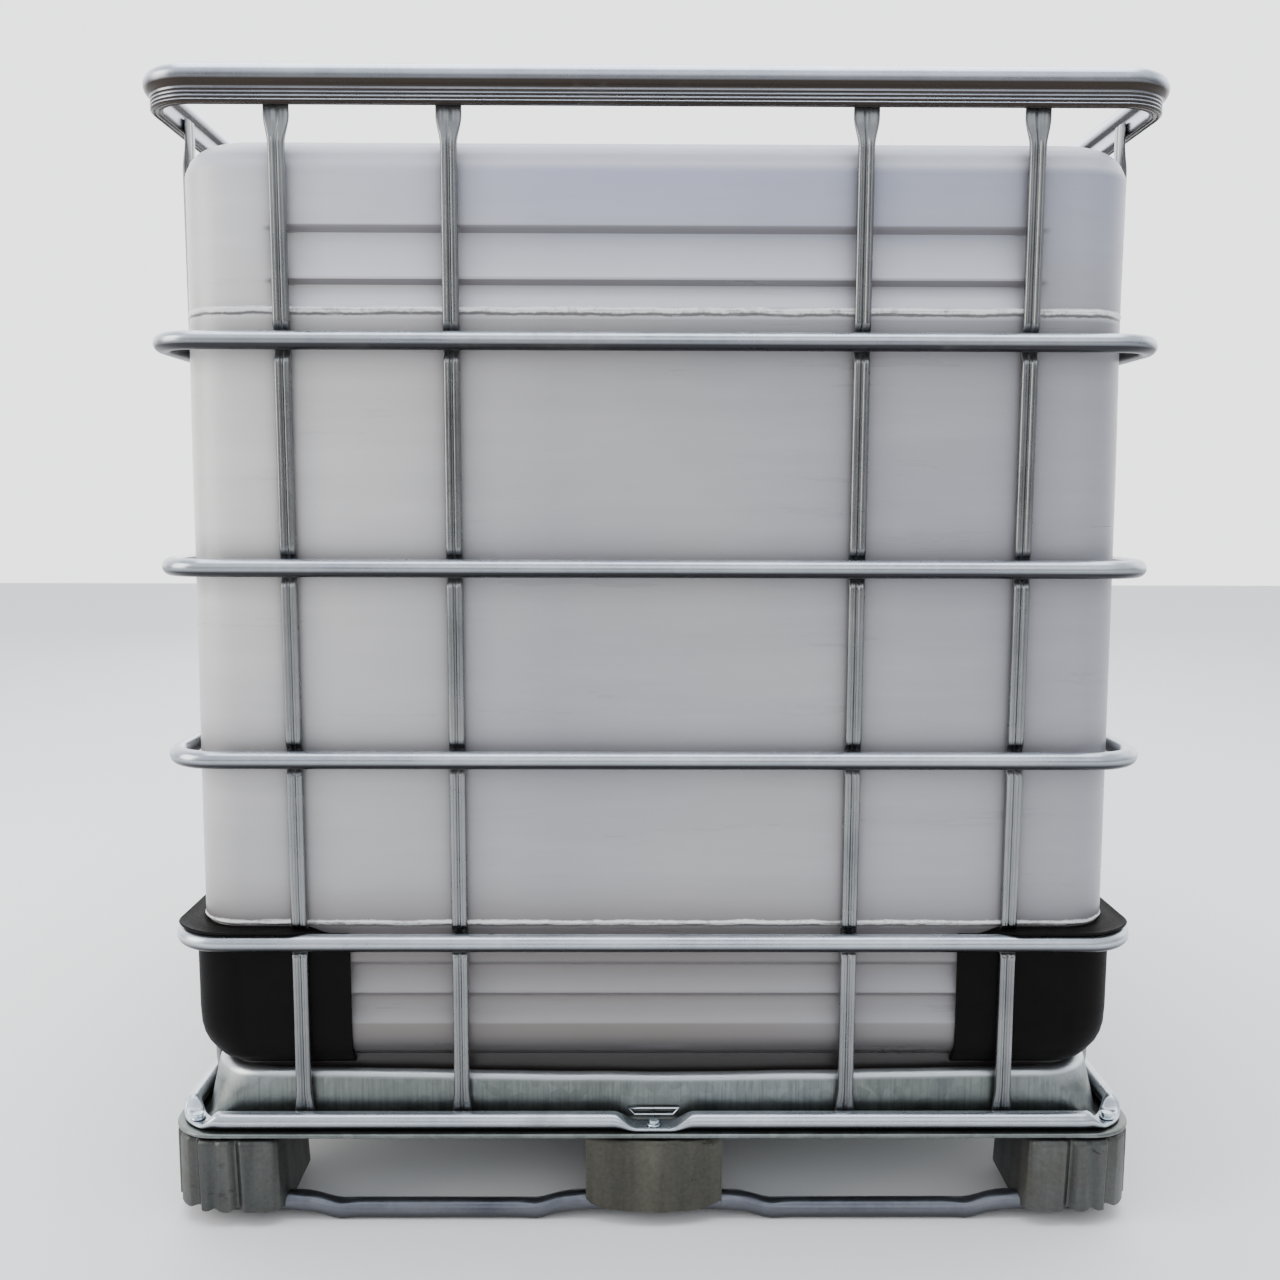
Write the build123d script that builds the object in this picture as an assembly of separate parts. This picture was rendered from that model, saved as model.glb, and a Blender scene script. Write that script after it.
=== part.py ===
from build123d import *
import math
import os

# Intermediate bulk container: a blow-moulded bottle in a welded tube cage on a steel pallet.
# Millimetres. X is the width, Y the depth and Z is up. The origin is on the floor, under the
# middle of the pallet. The plain end faces -Y and the discharge valve faces +Y.

# ---------------------------------------------------------------- driving dimensions
PALLET_WIDTH = 1000.0
PALLET_DEPTH = 1200.0
TOTAL_HEIGHT = 1141.0

SEAT_GAP = 0.2            # gap between two pieces that are welded, screwed or laid on each other
SOFT_GAP = 0.3            # gap between plastic or rubber pieces that touch

# Cage
CAGE_INSET = 7.0          # pallet edge to the outer face of the cage
CAGE_CORNER_R = 47.0      # bend of every ring, at the middle of its tube
RING_D = 18.0
TUBE_WALL = 1.2
RING_5_Z = 296.5          # lowest open ring
RING_4_RISE = 187.0       # ring 4 above ring 5
RING_3_RISE = 189.5       # ring 3 above ring 4
RING_2_DROP = 251.5       # ring 2 below the top of the container
RIM_BULGE_D = 22.0        # round upper part of the top rim
RIM_SKIRT_W = 12.0        # flat lower part of the top rim
RIM_SKIRT_DROP = 24.0     # middle of the bulge to the bottom of the flat part

# Uprights: a tube with two lobes, flattened where a ring crosses it and at both ends
UPRIGHT_W = 16.0
UPRIGHT_T = 9.5
UPRIGHT_LOBE_R = 4.75
UPRIGHT_WAIST_T = 8.2
UPRIGHT_WALL = 1.1
PADDLE_W = 25.0
PADDLE_T = 4.5
PADDLE_TAPER = 37.0
PADDLE_TOP_H = 25.0
PADDLE_BOTTOM_H = 12.0
END_UPRIGHT_X = (-359.0, -197.0, 197.0, 359.0)
SIDE_UPRIGHT_Y = (-480.0, -240.0, 0.0, 240.0, 480.0)

# Pallet
SKID_D = 20.0
SKID_WALL = 1.6
SKID_FLAT = 0.8           # the underside of the skid is pressed flat by this much where it stands
SKID_RISE = 8.0           # the skid is this much higher inside the feet than between them
SKID_RAMP = 45.0          # length over which the skid rises
SKID_CLEAR_OF_FOOT = 10.0 # foot side to the top of the ramp
SKID_IN = 25.0            # pallet edge to the middle of the skid tube
SKID_CORNER_R = 45.0
FOOT_SHOULDER_Z = 93.0
FOOT_SHOULDER_W = 6.5     # how far the foot's top platform is set in from its walls
FOOT_EDGE = 1.0           # pallet edge to the foot
FOOT_WALL = 2.0
CORNER_FOOT = 124.0
FOOT_INNER_R = 12.0       # corners of a foot that face away from the pallet's edges
FLUTE_R = 5.5
FLUTE_PROUD = 1.5         # how far the middle of a flute lies outside the foot's wall
FLUTES = (32.0, 56.0, 73.0) # pallet's corner to each flute, along the edge
MIDDLE_FOOT_W = 140.0
MIDDLE_FOOT_D = 122.0
MIDDLE_FOOT_BULGE = 14.0
BEAD_D = 6.5              # rolled edge of the base pan
PAN_T = 1.5
PAN_CLEAR = 3.3           # backs of the uprights to the upright skirt of the pan
PAN_R = 58.0
PAN_RIM_W = 17.0
PAN_RIM_R = 7.5
PAN_RIM_RISE = 54.0       # top of the pan's rim above its flange
PAN_FLOOR_RISE = 17.7     # top of the pan's floor above its flange
BEAM_W = 60.0
BEAM_T = 1.5
BEAM_X = 400.0
BEAM_END = 62.0           # pallet edge to the end of a beam

# Screws that hold the bottom ring, the pan and the feet together
SCREW_D = 6.3
SCREW_HEAD_D = 15.0
SCREW_HEAD_H = 5.5
SCREW_FIT = 0.5           # hole is wider than the screw by this much
NUT_AF = 10.0
NUT_H = 5.0
SCREW_TIP = 3.0           # screw past its nut
FLAT_T = 4.6              # thickness of the ring where it is pressed flat under a screw
FLAT_L = 66.0

# Bottle
BOTTLE_T = 2.2
BOTTLE_GAP = 1.3          # uprights to bottle
BOTTLE_R = 62.0
BOTTLE_TOP_DROP = 58.0    # bottle deck below the top of the container
SHOULDER_R = 34.0
HEEL_R = 10.0
BAND_HEEL_R = 30.0        # rounding of the lower band, above the rim of the pan
BAND_STEP = 2.6           # the lower band of the bottle is narrower, to leave room for the protectors
SEAM_PROUD = 0.9
SEAM_H = 2.4
UPPER_SEAM_DROP = 162.0
LOWER_SEAM_RISE = 195.0
GROOVE_DEPTH = 7.0
GROOVE_UP = 5.0
GROOVE_DOWN = 20.0
GROOVE_END = 109.0        # bottle side to the end of a groove
UPPER_GROOVE_DROPS = (89.5, 138.5)
LOWER_GROOVE_RISES = (114.0, 147.0)

# Fill opening and its screw cap
NECK_R = 75.0
NECK_WALL = 4.0
NECK_H = 33.0
NECK_FOOT_W = 30.0        # the raised ring of the deck around the neck
NECK_FOOT_H = 5.0
CAP_RADIAL_GAP = 2.5
CAP_WALL = 4.0
CAP_TOP_T = 4.5
CAP_SKIRT_H = 32.0
CAP_RIBS = 36
CAP_RIB_R = 1.6
CAP_HUB_R = 30.0
CAP_HUB_H = 6.0
CAP_SPOKES = 6
CAP_SPOKE_W = 5.0
SEAL_T = 3.0
SEAL_W = 5.0

# Discharge valve
VALVE_RISE = 39.0         # middle of the outlet above the rim of the pan
RECESS_W = 210.0
RECESS_RISE = 108.0       # top of the recess above the middle of the outlet
RECESS_DEPTH = 140.0
RECESS_R = 25.0
OUTLET_BORE_R = 25.0
OUTLET_NECK_R = 30.0
OUTLET_NECK_L = 36.0
COLLAR_R = 36.0           # collar of the valve body, held by the union nut
COLLAR_T = 6.0
UNION_R = 43.0            # union nut, without its ribs
UNION_L = 34.0
UNION_GAP = 1.0
UNION_FRONT_T = 5.0       # wall of the nut in front of the collar
UNION_RIBS = 18
UNION_RIB_R = 2.5
BODY_R = 32.0
BODY_L = 84.0
BOSS_R = 13.0
BOSS_H = 14.0
SPOUT_R = 29.0
SPOUT_L = 20.0
DISC_T = 5.0
DISC_GAP = 0.4
DISC_HUB_T = 2.5          # wall of the disc around its stem
STEM_R = 6.0
STEM_GAP = 0.3
STEM_PROUD = 14.0
HANDLE_L = 84.0
HANDLE_W = 22.0
HANDLE_T = 8.0
HANDLE_HUB_R = 15.0
HANDLE_NUT_AF = 15.0
OUTLET_CAP_WALL = 3.5
OUTLET_CAP_GAP = 1.5
OUTLET_CAP_TOP = 4.0
OUTLET_CAP_SKIRT = 17.0
OUTLET_CAP_RIBS = 20
OUTLET_CAP_RIB_R = 1.4

# Corner protectors
GUARD_LEG = 190.0         # pallet side to the end of a protector's leg
GUARD_BULGE = 3.0         # protector stands this far in front of the face of the bottle
GUARD_POCKET = 28.0       # width of the pocket behind an upright
GUARD_LIP_T = 3.0
GUARD_LIP_IN = 3.0        # outer face of the cage to the edge of the lip

# Crossbars and label plate
BAR_D = 20.0
BAR_Y = 285.0
BAR_FLANGE_W = 34.0
BAR_FLANGE_T = 4.0
BAR_BOLT_HEAD_D = 12.0
BAR_BOLT_HEAD_H = 5.0
LABEL_H = 150.0
LABEL_T = 1.0
LABEL_SIDE = 16.0         # how far the plate reaches past the middle of the uprights that carry it
LABEL_ABOVE_RING = 8.0
RIVET_HEAD_R = 5.5
RIVET_HEAD_H = 2.0
RIVET_EDGE = 20.0         # edge of the plate to the middle of a rivet
LABEL_R = 12.0

# ---------------------------------------------------------------- derived sizes
HALF_X = PALLET_WIDTH / 2
HALF_Y = PALLET_DEPTH / 2
RING_R = RING_D / 2
CAGE_X = HALF_X - CAGE_INSET
CAGE_Y = HALF_Y - CAGE_INSET
RING_IN = CAGE_INSET + RING_R                     # pallet edge to the middle of a ring's tube
CORNER_FOOT_R = CAGE_CORNER_R + RING_IN - FOOT_EDGE
UPRIGHT_BACK = CAGE_INSET + RING_D + SEAT_GAP + PADDLE_T
UPRIGHT_IN = UPRIGHT_BACK - UPRIGHT_T / 2
PAN_INSET = UPRIGHT_BACK + PAN_CLEAR              # pallet edge to the skirt of the pan

SKID_R = SKID_D / 2
SKID_LOW_Z = SKID_R - SKID_FLAT
SKID_HIGH_Z = SKID_R + SKID_RISE
FOOT_BOTTOM_Z = SKID_RISE
FLANGE_TOP_Z = FOOT_SHOULDER_Z + SEAT_GAP + BEAD_D
FLANGE_BOTTOM_Z = FLANGE_TOP_Z - PAN_T
FOOT_TOP_Z = FLANGE_BOTTOM_Z - SEAT_GAP
PAN_RIM_Z = FLANGE_TOP_Z + PAN_RIM_RISE
PAN_FLOOR_Z = FLANGE_TOP_Z + PAN_FLOOR_RISE
BOTTOM_RING_Z = FLANGE_TOP_Z + SEAT_GAP + RING_R

RING_4_Z = RING_5_Z + RING_4_RISE
RING_3_Z = RING_4_Z + RING_3_RISE
RING_2_Z = TOTAL_HEIGHT - RING_2_DROP
RING_LEVELS = (RING_2_Z, RING_3_Z, RING_4_Z, RING_5_Z)
RIM_BULGE_R = RIM_BULGE_D / 2
RIM_Z = TOTAL_HEIGHT - RIM_BULGE_R
RIM_IN = CAGE_INSET + RIM_BULGE_R
SKIRT_IN = CAGE_INSET + RING_D - RIM_SKIRT_W / 2   # its back is level with the backs of the rings
UPRIGHT_TOP = RIM_Z - RIM_BULGE_R - SEAT_GAP
UPRIGHT_BOTTOM = FLANGE_TOP_Z + SEAT_GAP

BOTTLE_IN = UPRIGHT_BACK + BOTTLE_GAP
BOTTLE_X = HALF_X - BOTTLE_IN
BOTTLE_Y = HALF_Y - BOTTLE_IN
BOTTLE_BOTTOM = PAN_FLOOR_Z + SOFT_GAP
BOTTLE_TOP = TOTAL_HEIGHT - BOTTLE_TOP_DROP
LIP_LOW = RING_5_Z + RING_R + SEAT_GAP            # lip of the corner protectors, on ring 5
LIP_HIGH = LIP_LOW + GUARD_LIP_T
BAND_TOP = LIP_HIGH + SOFT_GAP                    # top of the bottle's lower band
GUARD_IN = BOTTLE_IN - GUARD_BULGE
GUARD_BACK = BOTTLE_IN + BAND_STEP - SOFT_GAP
GUARD_T = GUARD_BACK - GUARD_IN
GUARD_LOW = PAN_RIM_Z + SOFT_GAP
BAND_LOW = GUARD_LOW + GUARD_T + SOFT_GAP
TRAY_IN = PAN_INSET + PAN_RIM_W
TRAY_R = PAN_R - PAN_RIM_W
NECK_TOP = BOTTLE_TOP + NECK_H

VALVE_Z = PAN_RIM_Z + VALVE_RISE
RECESS_TOP = VALVE_Z + RECESS_RISE
RECESS_Y = BOTTLE_Y - RECESS_DEPTH
OUTLET_FACE_Y = RECESS_Y + OUTLET_NECK_L
BODY_Y = OUTLET_FACE_Y + SEAL_T + 2 * SOFT_GAP
BODY_END_Y = BODY_Y + BODY_L
STEM_Y = BODY_Y + BODY_L * 0.5
SPOUT_END_Y = BODY_END_Y + SPOUT_L
STEM_TOP = VALVE_Z + BODY_R + BOSS_H + STEM_PROUD
HANDLE_Z = VALVE_Z + BODY_R + BOSS_H + SOFT_GAP


# ---------------------------------------------------------------- helpers
def block(half_x, half_y, corner, z0, z1):
    """An upright block with rounded corners, centred on the Z axis."""
    plan = RectangleRounded(2 * half_x, 2 * half_y, corner)
    return Pos(0, 0, z0) * extrude(plan, z1 - z0)


def plane_block(x0, x1, y0, y1, z0, z1):
    """A plain block between two corners."""
    middle = Pos((x0 + x1) / 2, (y0 + y1) / 2, (z0 + z1) / 2)
    return middle * Box(x1 - x0, y1 - y0, z1 - z0)


def rod(start, end, radius):
    """A cylinder from one point to another."""
    start = Vector(*start)
    end = Vector(*end)
    run = Plane(origin=start, z_dir=end - start)
    return extrude(run * Circle(radius), (end - start).length)


def rod_chain(points, radius):
    """Straight rods from point to point, with a ball at each bend."""
    chain = rod(points[0], points[1], radius)
    for start, end in zip(points[1:-1], points[2:]):
        chain += Pos(*start) * Sphere(radius)
        chain += rod(start, end, radius)
    return chain


def loop(section, inset, corner):
    """A closed rectangular ring with bent corners. The section is drawn with its own X pointing
    outwards and its own Y up, and its origin runs on a line inset from the pallet's edges."""
    path = RectangleRounded(2 * (HALF_X - inset), 2 * (HALF_Y - inset), corner).wire()
    run = path % 0
    outwards = run.cross(Vector(0, 0, 1))
    if outwards.dot(path @ 0) < 0:
        outwards = -outwards
    start = Plane(origin=path @ 0, x_dir=outwards, z_dir=outwards.cross(Vector(0, 0, 1)))
    return sweep(start * section, path)


def open_ring(level):
    """One ring of the cage, a round tube at the given height."""
    section = Circle(RING_R) - Circle(RING_R - TUBE_WALL)
    return loop(Pos(0, level) * section, RING_IN, CAGE_CORNER_R)


def write(shape, name):
    export_step(shape, f"parts/{name}.step")


def group(shapes):
    return Compound(children=list(shapes))


# ---------------------------------------------------------------- cage
def top_rim():
    """The top rim: a round bulge over a flat skirt, made of one tube."""
    bulge = Pos(0, RIM_Z) * Circle(RIM_BULGE_R)
    skirt_middle = RIM_IN - SKIRT_IN
    skirt_low = RIM_Z - RIM_SKIRT_DROP
    skirt = Pos(skirt_middle, (skirt_low + RIM_Z) / 2) * Rectangle(RIM_SKIRT_W, RIM_Z - skirt_low)
    bore = Pos(0, RIM_Z) * Circle(RIM_BULGE_R - TUBE_WALL)
    skirt_bore_w = RIM_SKIRT_W - 2 * TUBE_WALL
    skirt_bore = Pos(skirt_middle, (skirt_low + TUBE_WALL + RIM_Z) / 2) * Rectangle(
        skirt_bore_w, RIM_Z - skirt_low - TUBE_WALL)
    section = bulge + skirt - bore - skirt_bore
    rim = loop(section, RIM_IN, CAGE_CORNER_R)
    for side in (-1, 1):
        for bar in (-1, 1):
            outer = (side * HALF_X, bar * BAR_Y, bar_z())
            inner = (side * (HALF_X - 2 * RIM_IN), bar * BAR_Y, bar_z())
            rim -= rod(outer, inner, (SCREW_D + SCREW_FIT) / 2)
    return rim


def bar_z():
    """Height of a crossbar and its bolts: the middle of the rim's flat skirt."""
    return RIM_Z - RIM_BULGE_R - (RIM_SKIRT_DROP - RIM_BULGE_R) / 2


def screw_spots():
    """Where the screws stand: in the four bends and at the middle of each side."""
    into_bend = RING_IN + CAGE_CORNER_R * (1 - math.cos(math.radians(45)))
    spots = []
    for x in (-1, 1):
        for y in (-1, 1):
            spots.append((x * (HALF_X - into_bend), y * (HALF_Y - into_bend)))
    spots += [(0, -(HALF_Y - RING_IN)), (0, HALF_Y - RING_IN)]
    spots += [(-(HALF_X - RING_IN), 0), (HALF_X - RING_IN, 0)]
    return spots


def bottom_ring():
    """The bottom ring, pressed flat under each screw."""
    ring = open_ring(BOTTOM_RING_Z)
    low = BOTTOM_RING_Z - RING_R
    for x, y in screw_spots():
        if x == 0:
            turn = 0
        elif y == 0:
            turn = 90
        else:
            turn = 45 if x * y < 0 else -45
        spot = Pos(x, y, 0) * Rot(0, 0, turn)
        length = FLAT_L if x == 0 or y == 0 else FLAT_L / 2
        flat_plan = RectangleRounded(length, RING_D, RING_R - 1)
        ring -= spot * Pos(0, 0, low + RING_R) * Box(length - RING_D / 2, 2 * RING_D, 4 * RING_R)
        ring += spot * Pos(0, 0, low) * extrude(flat_plan, FLAT_T)
        ring -= Pos(x, y, low + RING_R) * Cylinder((SCREW_D + SCREW_FIT) / 2, 4 * RING_R)
    return ring


def upright_section(skin=0.0):
    """Two lobes side by side with a waist between them, moved inwards by skin."""
    lobe = UPRIGHT_W / 2 - UPRIGHT_LOBE_R
    section = Rectangle(2 * lobe, UPRIGHT_WAIST_T - 2 * skin)
    for side in (-1, 1):
        section += Pos(side * lobe, 0) * Circle(UPRIGHT_LOBE_R - skin)
    return section


def paddle_end(z_tip, direction):
    """The flattened end of an upright. The tip is at z_tip and the taper runs away from it."""
    flat_h = PADDLE_TOP_H if direction < 0 else PADDLE_BOTTOM_H
    z_flat = z_tip + direction * flat_h
    z_tube = z_flat + direction * PADDLE_TAPER
    paddle_y = UPRIGHT_BACK - PADDLE_T / 2
    flat_plan = Plane(origin=(0, paddle_y, min(z_tip, z_flat))) * Rectangle(PADDLE_W, PADDLE_T)
    end = extrude(flat_plan, flat_h)
    wide = Plane(origin=(0, paddle_y, z_flat)) * Rectangle(PADDLE_W, PADDLE_T)
    narrow = Plane(origin=(0, UPRIGHT_IN, z_tube)) * Rectangle(UPRIGHT_W - 1, UPRIGHT_T - 1)
    return end + loft([wide, narrow])


def upright():
    """One upright, standing behind the plane Y = 0 that is the edge of the pallet."""
    tube_low = UPRIGHT_BOTTOM + PADDLE_BOTTOM_H + PADDLE_TAPER
    tube_high = UPRIGHT_TOP - PADDLE_TOP_H - PADDLE_TAPER
    at = Pos(0, UPRIGHT_IN, tube_low)
    tube = at * extrude(upright_section(), tube_high - tube_low)
    bore_low = tube_low + UPRIGHT_WALL
    bore = Pos(0, UPRIGHT_IN, bore_low) * extrude(
        upright_section(UPRIGHT_WALL), tube_high - tube_low - 2 * UPRIGHT_WALL)
    for level in RING_LEVELS:
        start = (-PADDLE_W, RING_IN, level)
        end = (PADDLE_W, RING_IN, level)
        tube -= rod(start, end, RING_R + SEAT_GAP)
        bore -= rod(start, end, RING_R + SEAT_GAP + UPRIGHT_WALL)
    return tube - bore + paddle_end(UPRIGHT_TOP, -1) + paddle_end(UPRIGHT_BOTTOM, 1)


def write_uprights():
    post = upright()
    for number, x in enumerate(END_UPRIGHT_X, 1):
        write(Pos(x, -HALF_Y, 0) * post, f"rear_upright_{number}")
        write(Pos(x, HALF_Y, 0) * Rot(0, 0, 180) * post, f"front_upright_{number}")
    for number, y in enumerate(SIDE_UPRIGHT_Y, 1):
        write(Pos(-HALF_X, y, 0) * Rot(0, 0, -90) * post, f"left_upright_{number}")
        write(Pos(HALF_X, y, 0) * Rot(0, 0, 90) * post, f"right_upright_{number}")


def crossbar(side):
    """A bar across the top with a flange at each end, bolted to the rim's flat skirt."""
    face = HALF_X - SKIRT_IN - RIM_SKIRT_W / 2 - SEAT_GAP
    reach = face - BAR_FLANGE_T
    y = side * BAR_Y
    bar = rod((-reach, y, bar_z()), (reach, y, bar_z()), BAR_D / 2)
    bar -= rod((-reach, y, bar_z()), (reach, y, bar_z()), BAR_D / 2 - TUBE_WALL)
    flange_h = RIM_SKIRT_DROP - RIM_BULGE_R
    for end in (-1, 1):
        x0, x1 = sorted((end * reach, end * face))
        flange = plane_block(x0, x1, y - BAR_FLANGE_W / 2, y + BAR_FLANGE_W / 2,
                             bar_z() - BAR_D / 2, bar_z() + flange_h / 2)
        flange -= rod((x0 - 1, y, bar_z()), (x1 + 1, y, bar_z()), (SCREW_D + SCREW_FIT) / 2)
        bar += flange
    return bar


def crossbar_bolt(side, end):
    """A bolt from outside the rim into a crossbar's flange."""
    y = side * BAR_Y
    skin = HALF_X - SKIRT_IN + RIM_SKIRT_W / 2
    inner = HALF_X - SKIRT_IN - RIM_SKIRT_W / 2 - SEAT_GAP - BAR_FLANGE_T
    head = rod((end * (skin + SEAT_GAP), y, bar_z()),
               (end * (skin + SEAT_GAP + BAR_BOLT_HEAD_H), y, bar_z()), BAR_BOLT_HEAD_D / 2)
    shank = rod((end * (inner - NUT_H - SCREW_TIP), y, bar_z()),
                (end * (skin + SEAT_GAP), y, bar_z()), SCREW_D / 2)
    return head + shank


def crossbar_nut(side, end):
    inner = HALF_X - SKIRT_IN - RIM_SKIRT_W / 2 - SEAT_GAP - BAR_FLANGE_T - SEAT_GAP
    y = side * BAR_Y
    start = Plane(origin=(end * inner, y, bar_z()), z_dir=(-end, 0, 0))
    hexagon = RegularPolygon(NUT_AF / 2, 6, major_radius=False)
    return extrude(start * (hexagon - Circle(SCREW_D / 2 + SEAT_GAP)), NUT_H)


def label_span():
    """The two middle uprights of an end carry the plate."""
    return END_UPRIGHT_X[2] + LABEL_SIDE


def label_y():
    return HALF_Y - (UPRIGHT_IN - UPRIGHT_T / 2) + SEAT_GAP


def rivet_spots():
    low = RING_4_Z + RING_R + LABEL_ABOVE_RING
    for x in (END_UPRIGHT_X[1], END_UPRIGHT_X[2]):
        for z in (low + RIVET_EDGE, low + LABEL_H - RIVET_EDGE):
            yield x, z


def label_plate():
    """A blank sheet plate on the valve end, with a small flanged edge."""
    low = RING_4_Z + RING_R + LABEL_ABOVE_RING
    plan = Plane(origin=(0, label_y(), low + LABEL_H / 2), x_dir=(1, 0, 0), z_dir=(0, 1, 0))
    return extrude(plan * RectangleRounded(2 * label_span(), LABEL_H, LABEL_R), LABEL_T)


def label_rivet(x, z):
    face = label_y() + LABEL_T + SEAT_GAP
    return rod((x, face, z), (x, face + RIVET_HEAD_H, z), RIVET_HEAD_R)


# ---------------------------------------------------------------- pallet
def skid_side(length, foot_end):
    """Points of one side of the skid, along X: high in the feet and low between them."""
    middle_foot = MIDDLE_FOOT_W / 2
    top_out = length / 2 - foot_end - SKID_CLEAR_OF_FOOT
    top_in = middle_foot + SKID_CLEAR_OF_FOOT
    return top_out, top_in


def skid_points(length, corner):
    """The line of one side of the skid, from bend to bend, as (distance along it, height)."""
    top_out, top_in = skid_side(length, CORNER_FOOT + FOOT_EDGE)
    end = length / 2 - SKID_IN - corner
    half = [(top_in, SKID_HIGH_Z), (top_in + SKID_RAMP, SKID_LOW_Z),
            (top_out - SKID_RAMP, SKID_LOW_Z), (top_out, SKID_HIGH_Z)]
    if end > top_out:
        half.append((end, SKID_HIGH_Z))
    mirrored = [(-along, height) for along, height in reversed(half)]
    return mirrored + half


def skid_form(radius):
    """The floor skid as a solid bar: one closed loop through the eight outer feet."""
    form = None
    for turn, length, reach in ((0, PALLET_WIDTH, HALF_Y), (90, PALLET_DEPTH, HALF_X),
                                (180, PALLET_WIDTH, HALF_Y), (270, PALLET_DEPTH, HALF_X)):
        points = skid_points(length, SKID_CORNER_R)
        line = [(along, -(reach - SKID_IN), height) for along, height in points]
        side = rod_chain(line, radius)
        end = length / 2 - SKID_IN - SKID_CORNER_R
        centre = Axis((end, -(reach - SKID_IN) + SKID_CORNER_R, 0), (0, 0, 1))
        start = Plane(origin=(end, -(reach - SKID_IN), SKID_HIGH_Z), z_dir=(1, 0, 0))
        side += revolve(start * Circle(radius), axis=centre, revolution_arc=90)
        side = Rot(0, 0, turn) * side
        form = side if form is None else form + side
    return form


def runner_form(radius, end_gap):
    """The middle skid along Y, from skid to skid, through the centre foot."""
    end = HALF_Y - SKID_IN - SKID_R - end_gap
    rise_out = HALF_Y - FOOT_EDGE - MIDDLE_FOOT_D - SKID_CLEAR_OF_FOOT
    rise_in = MIDDLE_FOOT_D / 2 + SKID_CLEAR_OF_FOOT
    half = [(rise_in, SKID_HIGH_Z), (rise_in + SKID_RAMP, SKID_LOW_Z),
            (rise_out - SKID_RAMP, SKID_LOW_Z), (rise_out, SKID_HIGH_Z), (end, SKID_HIGH_Z)]
    line = [(0, -along, height) for along, height in reversed(half)]
    line += [(0, along, height) for along, height in half]
    return rod_chain(line, radius)


def corner_outline():
    """Plan of a corner foot: its outer corner is at the origin and the foot lies in +X +Y."""
    plan = Pos(CORNER_FOOT / 2, CORNER_FOOT / 2) * Rectangle(CORNER_FOOT, CORNER_FOOT)
    corners = plan.vertices().sort_by(lambda v: v.X + v.Y)
    plan = fillet(corners[0], CORNER_FOOT_R)
    corners = plan.vertices().sort_by(lambda v: v.X + v.Y)
    plan = fillet(corners[-3:], FOOT_INNER_R)
    return plan


def flute_spot(along):
    """Middle of a flute, just outside the outline, on its straight part or on its bend."""
    if along >= CORNER_FOOT_R:
        return along, -FLUTE_PROUD
    reach = CORNER_FOOT_R - along
    turn = math.asin(reach / CORNER_FOOT_R)
    radius = CORNER_FOOT_R + FLUTE_PROUD
    return CORNER_FOOT_R - radius * math.sin(turn), CORNER_FOOT_R - radius * math.cos(turn)


def flutes(wall):
    """Round grooves down the two outer walls of a corner foot, wider by the wall's thickness."""
    cut = None
    for along in FLUTES:
        x, y = flute_spot(along - FOOT_EDGE)
        for spot in ((x, y), (y, x)):
            groove = Pos(*spot) * Circle(FLUTE_R + wall)
            cut = groove if cut is None else cut + groove
    return cut


def middle_outline():
    """Plan of a middle foot: its bulged front lies at Y = 0 and the foot reaches into +Y."""
    half = MIDDLE_FOOT_W / 2
    front = ThreePointArc((-half, MIDDLE_FOOT_BULGE), (0, 0), (half, MIDDLE_FOOT_BULGE))
    back = Polyline((half, MIDDLE_FOOT_BULGE), (half, MIDDLE_FOOT_D), (-half, MIDDLE_FOOT_D),
                    (-half, MIDDLE_FOOT_BULGE))
    plan = make_face([front, back])
    corners = plan.vertices().sort_by(lambda v: v.Y)
    return fillet(corners[-2:], FOOT_INNER_R)


def foot_shell(outline, groove=None):
    """A pressed foot, open below: walls, a shoulder under the pan's bead and a raised platform."""
    def plan(inset, wall):
        face = offset(outline, -inset, kind=Kind.INTERSECTION) if inset else outline
        return face - groove(wall) if groove else face

    def stack(inset, wall, low, shoulder, top):
        lower = Pos(0, 0, low) * extrude(plan(inset, wall), shoulder - low)
        upper = Pos(0, 0, shoulder) * extrude(
            plan(inset + FOOT_SHOULDER_W, wall), top - shoulder)
        return lower + upper

    outside = stack(0, 0, FOOT_BOTTOM_Z, FOOT_SHOULDER_Z, FOOT_TOP_Z)
    inside = stack(FOOT_WALL, FOOT_WALL, FOOT_BOTTOM_Z, FOOT_SHOULDER_Z - FOOT_WALL,
                   FOOT_TOP_Z - FOOT_WALL)
    return outside - inside


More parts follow.
